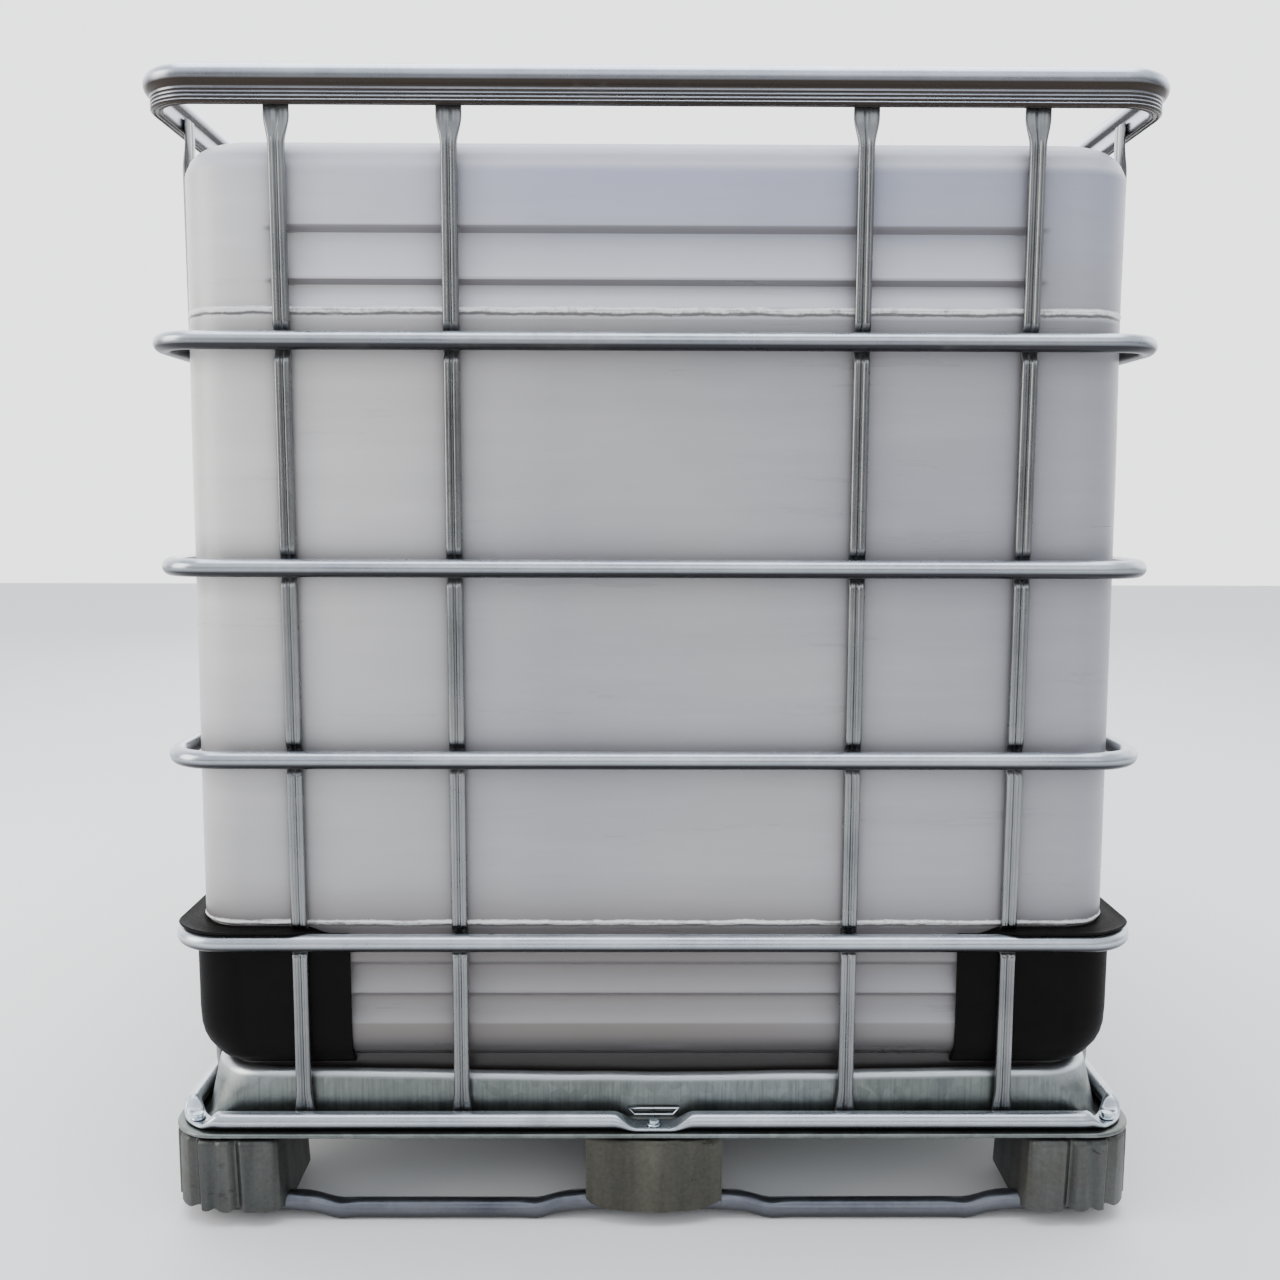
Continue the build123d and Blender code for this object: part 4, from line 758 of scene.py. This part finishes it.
# ---------------- pallet
def make_pan(material):
    """The pressed base pan: rolled edge, flange, side, rounded rim that sags a little between
    the corners, and the sunk floor."""
    bead = 2.4 * MM
    bead_in = 3.4 * MM
    side_in = 33 * MM
    floor_in = 50 * MM
    rim_r = 8 * MM
    sheet_thick = 1.5 * MM
    top = FLANGE_Z
    floor = BOTTLE_BOTTOM - 0.4 * MM
    outside = []       # (inset, height)
    for turn in np.linspace(-math.pi * 0.52, math.pi * 0.5, 9):
        outside.append((bead_in + bead - bead * math.cos(turn), top - bead + bead * math.sin(turn)))
    outside += [(11 * MM, top - 0.25 * MM), (16 * MM, top), (26 * MM, top),
                (30.5 * MM, top + 0.6 * MM), (32.4 * MM, top + 2.6 * MM), (side_in, top + 6 * MM)]
    side_high = PAN_RIM_Z - rim_r
    for z in np.linspace(top + 12 * MM, side_high - 2 * MM, 7):
        outside.append((side_in + (z - top) * 0.02, z))
    for turn in np.linspace(0, math.pi / 2, 9):
        outside.append((side_in + 1 * MM + rim_r * (1 - math.cos(turn)),
                        side_high + rim_r * math.sin(turn)))
    outside += [(44 * MM, PAN_RIM_Z - 0.2 * MM), (47 * MM, PAN_RIM_Z - 1.2 * MM),
                (49.2 * MM, PAN_RIM_Z - 3.5 * MM)]
    inside = [(floor_in, PAN_RIM_Z - 7 * MM), (floor_in, BOTTLE_BOTTOM + 4 * MM),
              (52 * MM, BOTTLE_BOTTOM + 0.5 * MM), (56 * MM, floor), (120 * MM, floor),
              (120 * MM, floor - sheet_thick), (55 * MM, floor - sheet_thick),
              (51.6 * MM, BOTTLE_BOTTOM - 0.5 * MM), (51.4 * MM, BOTTLE_BOTTOM + 4 * MM)]
    steps = np.linspace(-1, 1, 41)
    rings = []
    for index, (inset, z) in enumerate(outside + inside):
        if inset < 30 * MM:
            bend = 50 * MM - 0.6 * inset
        elif index < len(outside):
            bend = 30 * MM + 40 * MM * float(ease(top, PAN_RIM_Z + 4 * MM, z))
        else:
            bend = max(58 * MM - 0.6 * (inset - floor_in), 18 * MM)
        points, normals = inset_outline(inset, bend, steps, 18)
        reach = np.where(np.abs(normals[:, 1]) >= np.abs(normals[:, 0]),
                         np.abs(points[:, 0]) / HALF_X, np.abs(points[:, 1]) / HALF_Y)
        raised = float(ease(PAN_RIM_Z - 30 * MM, PAN_RIM_Z - 4 * MM, z)) * (inset > side_in)
        raised *= index < len(outside) + 2          # the floor itself stays level
        wave = ripple((points[:, 0], 31, 0.5), (points[:, 1], 27, 0.2), (points[:, 0], 67, 1.7))
        sag = raised * (6.0 * MM * (1 - ease(0.0, 0.9, reach)) + 0.5 * MM * (1 + wave))
        dents = 0.0
        if side_in < inset < 48 * MM:
            dents = 0.7 * MM * ripple((points[:, 0], 43, 0.1), (points[:, 1], 39, 2.0)) * raised
        rings.append(place_loop(points, normals, np.minimum(dents, 0.4 * MM), z - sag))
    piece("base_pan_sheet", loft(rings), material, ["base_pan"], sharp=55)


def straight(start, end, normal, count):
    """Part of a foot's plan: (point, outward normal) along a straight run, without its end."""
    return [(tuple(a + (b - a) * t for a, b in zip(start, end)), normal)
            for t in np.linspace(0, 1, count, endpoint=False)]


def quarter(x, y, radius, first, count):
    """Part of a foot's plan round a quarter turn about x, y, from the first angle on."""
    turns = np.radians(first + 90 * np.linspace(0, 1, count, endpoint=False))
    return [((x + radius * math.cos(turn), y + radius * math.sin(turn)),
             (math.cos(turn), math.sin(turn))) for turn in turns]


def foot_piece(node, points, normals, flute, wave, material):
    """A pressed foot from the line of its plan: walls, rounded shoulder, platform and inside.
    flute(z) moves the wall out, and wave lifts its lower edge."""
    low = FOOT_LOW
    shoulder = FLANGE_Z - 6.7 * MM
    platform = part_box(node)[1][2]
    round_r = 7 * MM
    rows = [(low, 0.0), (low + 0.6 * MM, 0.0)]
    rows += [(z, 0.0) for z in np.linspace(low + 6 * MM, shoulder - round_r, 9)]
    for turn in np.linspace(0.12, 1, 8) * math.pi / 2:
        rows.append((shoulder - round_r + round_r * math.sin(turn),
                     -round_r * (1 - math.cos(turn))))
    rows += [(shoulder + 1.2 * MM, -8.2 * MM), (platform - 1.0 * MM, -9 * MM),
             (platform, -10.2 * MM)]
    inner = [(z, -2.2 * MM) for z in (shoulder - 4 * MM, low + 30 * MM, low + 0.6 * MM, low)]
    rings = []
    for index, (z, out) in enumerate(inner + rows):
        keep = 1.0 if index < len(inner) else float(1 - ease(shoulder - 1.0 * MM, platform, z))
        lift = wave * float(1 - ease(low, low + 22 * MM, z))
        rings.append(place_loop(points, normals, out + flute(z) * keep, z + lift))
    piece(node + "_shell", loft(rings), material, [node], sharp=48)


def make_corner_feet(material):
    """Corner feet: three grooves down each outer side, a wavy lower edge and drafted inner
    sides. The plan starts at the pallet's corner and runs inwards."""
    size = 124 * MM
    edge = 1 * MM
    bend = 56 * MM
    soft = 26 * MM
    far = size - soft
    grooves = (30 * MM, 51 * MM, 74 * MM)
    plan = straight((bend, 0), (far, 0), (0, -1), 60) + quarter(far, soft, soft, -90, 22)
    plan += straight((size, soft), (size, far), (1, 0), 14) + quarter(far, far, soft, 0, 12)
    plan += straight((far, size), (soft, size), (0, 1), 14) + quarter(soft, far, soft, 90, 12)
    plan += straight((0, far), (0, bend), (-1, 0), 60) + quarter(bend, bend, bend, 180, 90)
    line, facing = (np.array(column, float) for column in zip(*plan))
    nearer, further = line.min(axis=1), line.max(axis=1)
    reach = np.where(line.sum(axis=1) < size, further, size)
    outer = (nearer < bend * 0.42) & (reach < size - 4 * MM)
    inner_side = ease(size - 13 * MM, size - 2 * MM, further)

    def flute(z):
        depth = np.zeros(len(reach))
        for index, groove in enumerate(grooves):
            at = groove + 0.03 * (z - 50 * MM) * (1 if index % 2 else -1)
            depth -= (2.4 if index == 1 else 5.0) * MM * bump_at(at, 4.2 * MM, reach)
            depth += 0.9 * MM * bump_at(at + 8.2 * MM, 2.0 * MM, reach)
            depth += 0.9 * MM * bump_at(at - 8.2 * MM, 2.0 * MM, reach)
        draft = 5.5 * MM * (z / (100 * MM)) * inner_side
        return np.minimum(depth * outer, 0) - draft - 0.9 * MM * outer

    wave = 3.0 * MM * outer * np.clip(sum(bump_at(groove, 6 * MM, reach) for groove in grooves),
                                      0, 1)
    for name, x_sign, y_sign in CORNERS:
        sign = np.array([x_sign, y_sign])
        points = sign * (np.array([HALF_X, HALF_Y]) - (line + edge))
        foot_piece(f"corner_foot_{name}", points, -sign * facing, flute, wave, material)


def make_middle_feet(material):
    """Middle feet: a bulged front with soft upright bands and a pressed lip at the top."""
    half = 70 * MM
    bulge = 14 * MM
    deep = 122 * MM
    soft = 10 * MM
    plan = []
    for x in np.linspace(-half, half, 90, endpoint=False):
        slope = 2 * bulge * x / half ** 2
        size = math.hypot(1, slope)
        plan.append(((x, bulge * (x / half) ** 2), (slope / size, -1 / size)))
    plan += straight((half, bulge), (half, deep - soft), (1, 0), 14)
    plan += straight((half - soft, deep), (soft - half, deep), (0, 1), 16)
    plan += straight((-half, deep - soft), (-half, bulge), (-1, 0), 14)
    line, facing = (np.array(column, float) for column in zip(*plan))
    front = (facing[:, 1] < -0.5).astype(float)
    x, off_middle = line[:, 0], np.abs(line[:, 0])

    def flute(z):
        bands = 0.7 * MM * (ripple((x, 190, 0.4), (x, 97, 1.2)) - 1)
        lip = -3.2 * MM * bump_at(0, 27 * MM, x) * bump_at(
            FLANGE_Z - 8 * MM - 6 * MM * (1 - (x / (34 * MM)) ** 2), 4 * MM, z)
        low_cut = -3.5 * MM * ease(52 * MM, 70 * MM, off_middle) * float(
            1 - ease(8 * MM, 26 * MM, z))
        return (bands + lip + low_cut) * front

    wave = 2.5 * MM * ease(48 * MM, 70 * MM, off_middle) * front
    for turn, name in enumerate(("rear", "right", "front", "left")):
        edge = (HALF_X if turn % 2 else HALF_Y) - 1 * MM
        c, s = math.cos(math.radians(90 * turn)), math.sin(math.radians(90 * turn))
        turned = np.array([[c, s], [-s, c]])
        foot_piece(f"middle_foot_{name}", (line - (0, edge)) @ turned, facing @ turned, flute,
                   wave, material)


def skid_height(along, half_length):
    """Height of the skid's middle: low on the floor, higher inside the feet."""
    low, high = SKID_R - 0.8 * MM, SKID_R + 8 * MM
    rise_in = ease(80 * MM, 125 * MM, abs(along))
    rise_out = ease(half_length - 180 * MM, half_length - 135 * MM, abs(along))
    return high - (high - low) * float(rise_in) * float(1 - rise_out)


def make_skid(material):
    """The floor skid: one bent tube through the eight outer feet, pinched where it bends."""
    points, normals = inset_outline(25 * MM, 45 * MM, np.linspace(-1, 1, 121), 14)
    turns = full_turn(28)
    rings = []
    for point, normal in zip(points, normals):
        end = abs(normal[1]) >= abs(normal[0])
        along, half = (point[0], HALF_X) if end else (point[1], HALF_Y)
        pinch = sum(float(bump_at(spot, 11 * MM, abs(along)))
                    for spot in (84 * MM, 121 * MM, half - 139 * MM, half - 176 * MM))
        power = 1 - 0.30 * min(pinch, 1)
        out = squared(np.cos(turns), power) * (SKID_R * (1 - 0.02 * pinch))
        up = squared(np.sin(turns), power) * SKID_R
        up = np.where(up > 0, up * (1 - 0.16 * pinch), up)
        up = np.maximum(skid_height(along, half) + up, 0.0)
        rings.append(np.column_stack([point[0] + normal[0] * out, point[1] + normal[1] * out, up]))
    piece("skid_tube", loft(rings, cyclic=True), material, ["skid_frame"], sharp=50)


# ---------------- corner protectors
def corner_line(half_x, half_y, bend, leg_x, leg_y, counts):
    """From the end of one leg, round the corner, to the end of the other leg."""
    points = []
    for t in np.linspace(0, 1, counts[0], endpoint=False):
        points.append((leg_x + (half_x - bend - leg_x) * t, half_y))
    for t in np.linspace(0, 1, counts[1]):
        angle = math.pi / 2 * (1 - t)
        points.append((half_x - bend + bend * math.cos(angle),
                       half_y - bend + bend * math.sin(angle)))
    for t in np.linspace(0, 1, counts[2] + 1)[1:]:
        points.append((half_x, half_y - bend + (leg_y - half_y + bend) * t))
    return np.array(points)


def make_guards(material):
    """Black protectors at the foot of the bottle's corners: a curved body that rounds in over the
    pan, and a lip that flares out over the lowest open ring and tapers along its top."""
    counts = (46, 26, 46)
    ring_top = RING_Z[3] + RING_R
    for name, x_sign, y_sign in CORNERS:
        node = f"corner_guard_{name}"
        box_low, box_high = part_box(node)
        legs = [min(abs(box_low[axis]), abs(box_high[axis])) for axis in (0, 1)]
        # The bottle's face, the cage's face and the pan's inner wall, at each step round.
        near, far, deep = (corner_line(HALF_X - inset, HALF_Y - inset, bend, *legs, counts)
                           for inset, bend in ((BOTTLE_IN, BOTTLE_BEND - 12 * MM),
                                               (CAGE_INSET, CAGE_BEND), (50 * MM, 41 * MM)))
        low = box_low[2] + 0.5 * MM
        rings = []
        for index, (x, y) in enumerate(near):
            start = min(abs(x - legs[0]) + abs(y - (HALF_Y - BOTTLE_IN)),
                        abs(y - legs[1]) + abs(x - (HALF_X - BOTTLE_IN)))
            lip = float(ease(18 * MM, 52 * MM, start))
            bent = float(ease(70 * MM, 150 * MM, start))
            turn = math.sin(math.pi * np.clip((index - counts[0]) / counts[1], 0, 1))
            body = 0.125 + 0.24 * turn
            top = ring_top - 7.5 * MM * float(1 - ease(18 * MM, 46 * MM, start))
            reach = body + 0.04 + (0.93 - body - 0.04) * lip
            rise = 0.5 + 1.4 * turn * bent
            # (share of the way from near to far, or with a minus to deep, then the height)
            wall = [(-1.0, 0), (-0.72, 1.5), (-0.42, 6), (-0.16, 13), (0.25 * body, 22),
                    (0.66 * body, 32), (0.9 * body, 43), (body, 60)]
            edge = [(body, -20), (body, -8), (body + 0.02, -3), (body + 0.03, -1),
                    (body + (reach - body) * 0.35, 0.5),
                    (body + (reach - body) * 0.75, 0.6 + rise * 0.3),
                    (reach - 0.02, 0.9 + rise), (reach, 2.0 + rise), (reach - 0.05, 3.0 + rise),
                    (body + (reach - body) * 0.7, 2.4 + rise * 0.3),
                    (body + (reach - body) * 0.35, 2.6), (body - 0.02, 3.0), (-0.04, 3.2),
                    (-0.09, 2.4), (-0.095, -30)]
            back = [(-0.095, 44), (-0.30, 20), (-1.0, 4)]
            profile = [(share, base + up * MM) for stretch, base in ((wall, low), (edge, top),
                                                                     (back, low))
                       for share, up in stretch]
            ring = []
            for share, z in profile:
                other = far[index] if share >= 0 else deep[index]
                spot = near[index] * (1 - abs(share)) + other * abs(share)
                ring.append((spot[0] * x_sign, spot[1] * y_sign, z))
            rings.append(ring)
        piece(node + "_shell", loft(rings), material, [node], sharp=50)


# ---------------- screws
def make_screws(material):
    """Flanged screws with a hexagon and a domed top, at the frame's own screw places."""
    corners, middles = screw_places()
    head = 5.5                          # height of a head above its flange, in millimetres
    turns = full_turn(36)
    hexagon = math.cos(math.pi / 6) / np.cos((turns + 0.4) % (math.pi / 3) - math.pi / 6)
    parts = []
    for x, y in corners + middles:
        rings = []
        # Radius and height in millimetres, and how far it is six-sided.
        for radius, up, six in ((3.1, -12, 0), (3.1, -0.2, 0), (7.3, 0, 0), (7.5, 0.7, 0),
                                (6.9, 1.5, 0), (5.6, 1.9, 1), (5.6, 4.4, 1), (4.9, 5.2, 0.6),
                                (2.4, head, 0), (0.6, head, 0)):
            reach = radius * MM * (1 + six * (hexagon - 1))
            rings.append(level_loop(x + reach * np.cos(turns), y + reach * np.sin(turns),
                                    SCREW_SEAT + (up - head) * MM))
        parts.append(loft(rings))
    piece("cage_screw_heads", merge(parts), material, ["cage_screws"], sharp=30)


# ---------------- the pieces
# The third colour given to each galvanised finish is the painted shade on its undersides.
steel = galvanised("cage_steel", (0.62, 0.665, 0.71), (0.42, 0.46, 0.51), (0.028, 0.028, 0.031),
                   shine=(0.22, 0.34), bump=0.02)
rim = galvanised("rim_steel", (0.66, 0.70, 0.78), (0.46, 0.50, 0.57), (0.030, 0.024, 0.020),
                 shine=(0.22, 0.34), bump=0.02)
upright = galvanised("upright_steel", (0.36, 0.37, 0.37), (0.20, 0.21, 0.215),
                     (0.05, 0.05, 0.053), shine=(0.20, 0.34), grain=(3, 3, 0.2), bump=0.02,
                     reach=0.005)
skid = galvanised("skid_steel", (0.19, 0.20, 0.225), (0.085, 0.09, 0.11), (0.08, 0.082, 0.09),
                  shine=(0.26, 0.44), grain=(2, 2, 6))
guard_black = moulded("guard_plastic", (0.0024, 0.0019, 0.0018), (0.0042, 0.0034, 0.0032),
                      (0.48, 0.62), wear=0.03, gloss=0.06)
zinc = zinc_hardware()
make_rim(rim)
make_rings(steel)
make_bottom_ring(steel)
make_uprights(upright)
make_bottle(bottle_plastic())
make_pan(pan_steel())
make_corner_feet(foot_steel("corner_foot_steel", (0.105, 0.108, 0.10), (0.052, 0.055, 0.053),
                            (0.075, 0.066, 0.05)))
make_middle_feet(foot_steel("middle_foot_steel", (0.10, 0.097, 0.078), (0.058, 0.057, 0.048),
                            (0.08, 0.064, 0.043)))
make_skid(skid)
make_guards(guard_black)
make_screws(zinc)

# Nodes that keep the shape of the frame and get a better finish.
rubber = moulded("seal_rubber", (0.012, 0.012, 0.012), (0.03, 0.03, 0.03), (0.5, 0.7), wear=0.1)
cap_black = moulded("cap_plastic", (0.012, 0.012, 0.013), (0.022, 0.022, 0.024), (0.30, 0.45))
valve_grey = moulded("valve_plastic", (0.045, 0.048, 0.052), (0.07, 0.074, 0.08), (0.35, 0.5))
handle_red = moulded("handle_plastic", (0.34, 0.018, 0.014), (0.48, 0.035, 0.024), (0.28, 0.42))
label_zinc = galvanised("label_steel", (0.66, 0.69, 0.72), (0.50, 0.53, 0.56), (0.12, 0.12, 0.12),
                        shine=(0.3, 0.5), grain=(1, 1, 8))
dark_foot = foot_steel("centre_foot_steel", (0.17, 0.175, 0.19), (0.09, 0.095, 0.105),
                       (0.12, 0.10, 0.08))
inner_steel = galvanised("inner_steel", (0.33, 0.35, 0.38), (0.20, 0.215, 0.24), (0.10, 0.10, 0.11))
for finish, nodes in (
        (steel, ["crossbar_front", "crossbar_rear"]),
        (zinc, ["crossbar_bolts", "hex_nuts", "label_rivets", "valve_stem", "valve_handle_nut"]),
        (label_zinc, ["label_plate"]), (inner_steel, ["deck_beams", "skid_runner"]),
        (dark_foot, ["centre_foot"]), (cap_black, ["fill_cap", "outlet_cap", "valve_union_nut"]),
        (rubber, ["fill_cap_seal", "outlet_cap_seal", "valve_seal"]),
        (valve_grey, ["valve_body", "valve_disc"]), (handle_red, ["valve_handle"])):
    for node in nodes:
        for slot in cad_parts[node].material_slots:
            slot.material = finish


# ---------------- stage, light and camera
def floor(reach, colour):
    mesh = bpy.data.meshes.new("floor")
    mesh.from_pydata([(-reach, -reach, 0), (reach, -reach, 0), (reach, reach, 0),
                      (-reach, reach, 0)], [], [(0, 1, 2, 3)])
    thing = bpy.data.objects.new("floor", mesh)
    bpy.context.scene.collection.objects.link(thing)
    paint = Recipe("floor_paint")
    paint.colour = (*colour, 1)
    mesh.materials.append(paint.finish(Roughness=0.9, Specular_IOR_Level=0.1))


def area_light(name, place, aim, size, power, colour):
    lamp = bpy.data.lights.new(name, "AREA")
    lamp.shape = "RECTANGLE"
    lamp.size, lamp.size_y = size
    lamp.energy = power
    lamp.color = colour
    thing = bpy.data.objects.new(name, lamp)
    thing.location = place
    way = Vector(aim) - Vector(place)
    thing.rotation_euler = way.to_track_quat("-Z", "Y").to_euler()
    bpy.context.scene.collection.objects.link(thing)


floor(9, (0.90, 0.90, 0.90))
area_light("overhead", (0.0, -0.2, 3.4), (0, 0, 0.6), (3.4, 3.0), 120, (0.88, 0.93, 1.0))
area_light("left_warm", (-3.6, -1.4, 1.7), (0, 0, 0.6), (2.0, 2.6), 85, (1.0, 0.95, 0.88))
area_light("front_soft", (0.6, -4.2, 2.3), (0, 0, 0.5), (3.0, 2.0), 18, (0.96, 0.98, 1.0))
area_light("right_soft", (3.8, 0.4, 1.9), (0, 0, 0.5), (2.0, 2.4), 14, (0.90, 0.95, 1.0))
area_light("back_soft", (-0.4, 4.4, 2.2), (0, 0, 0.5), (3.0, 2.4), 45, (0.95, 0.97, 1.0))

world = bpy.data.worlds.new("studio")
bpy.context.scene.world = world
world.use_nodes = True
sky = Recipe.of_world(world)
side = sky.span(1, 0.15, 0.6)
height = sky.span(2, 0.06, 0.42)
studio = sky.mix(height, (0.42, 0.42, 0.43), (1.0, 1.04, 1.12))
studio = sky.mix(side, studio, (2.6, 2.62, 2.66))
background = world.node_tree.nodes["Background"]
background.inputs["Strength"].default_value = 1.0
sky.put(background, "Color", studio)

lens = bpy.data.cameras.new("camera")
lens.sensor_width = 36.0
lens.lens = 34.45
lens.clip_start = 0.05
eye = bpy.data.objects.new("camera", lens)
eye.location = (-0.0235, -1.7739, 0.7397)
PITCH, YAW, ROLL = 6.529, 0.381, 0.154
turned = Euler((math.radians(90 - PITCH), 0, math.radians(-YAW)))
eye.rotation_euler = (turned.to_matrix() @ Matrix.Rotation(math.radians(ROLL), 3, "Z")).to_euler()
bpy.context.scene.collection.objects.link(eye)
bpy.context.scene.camera = eye
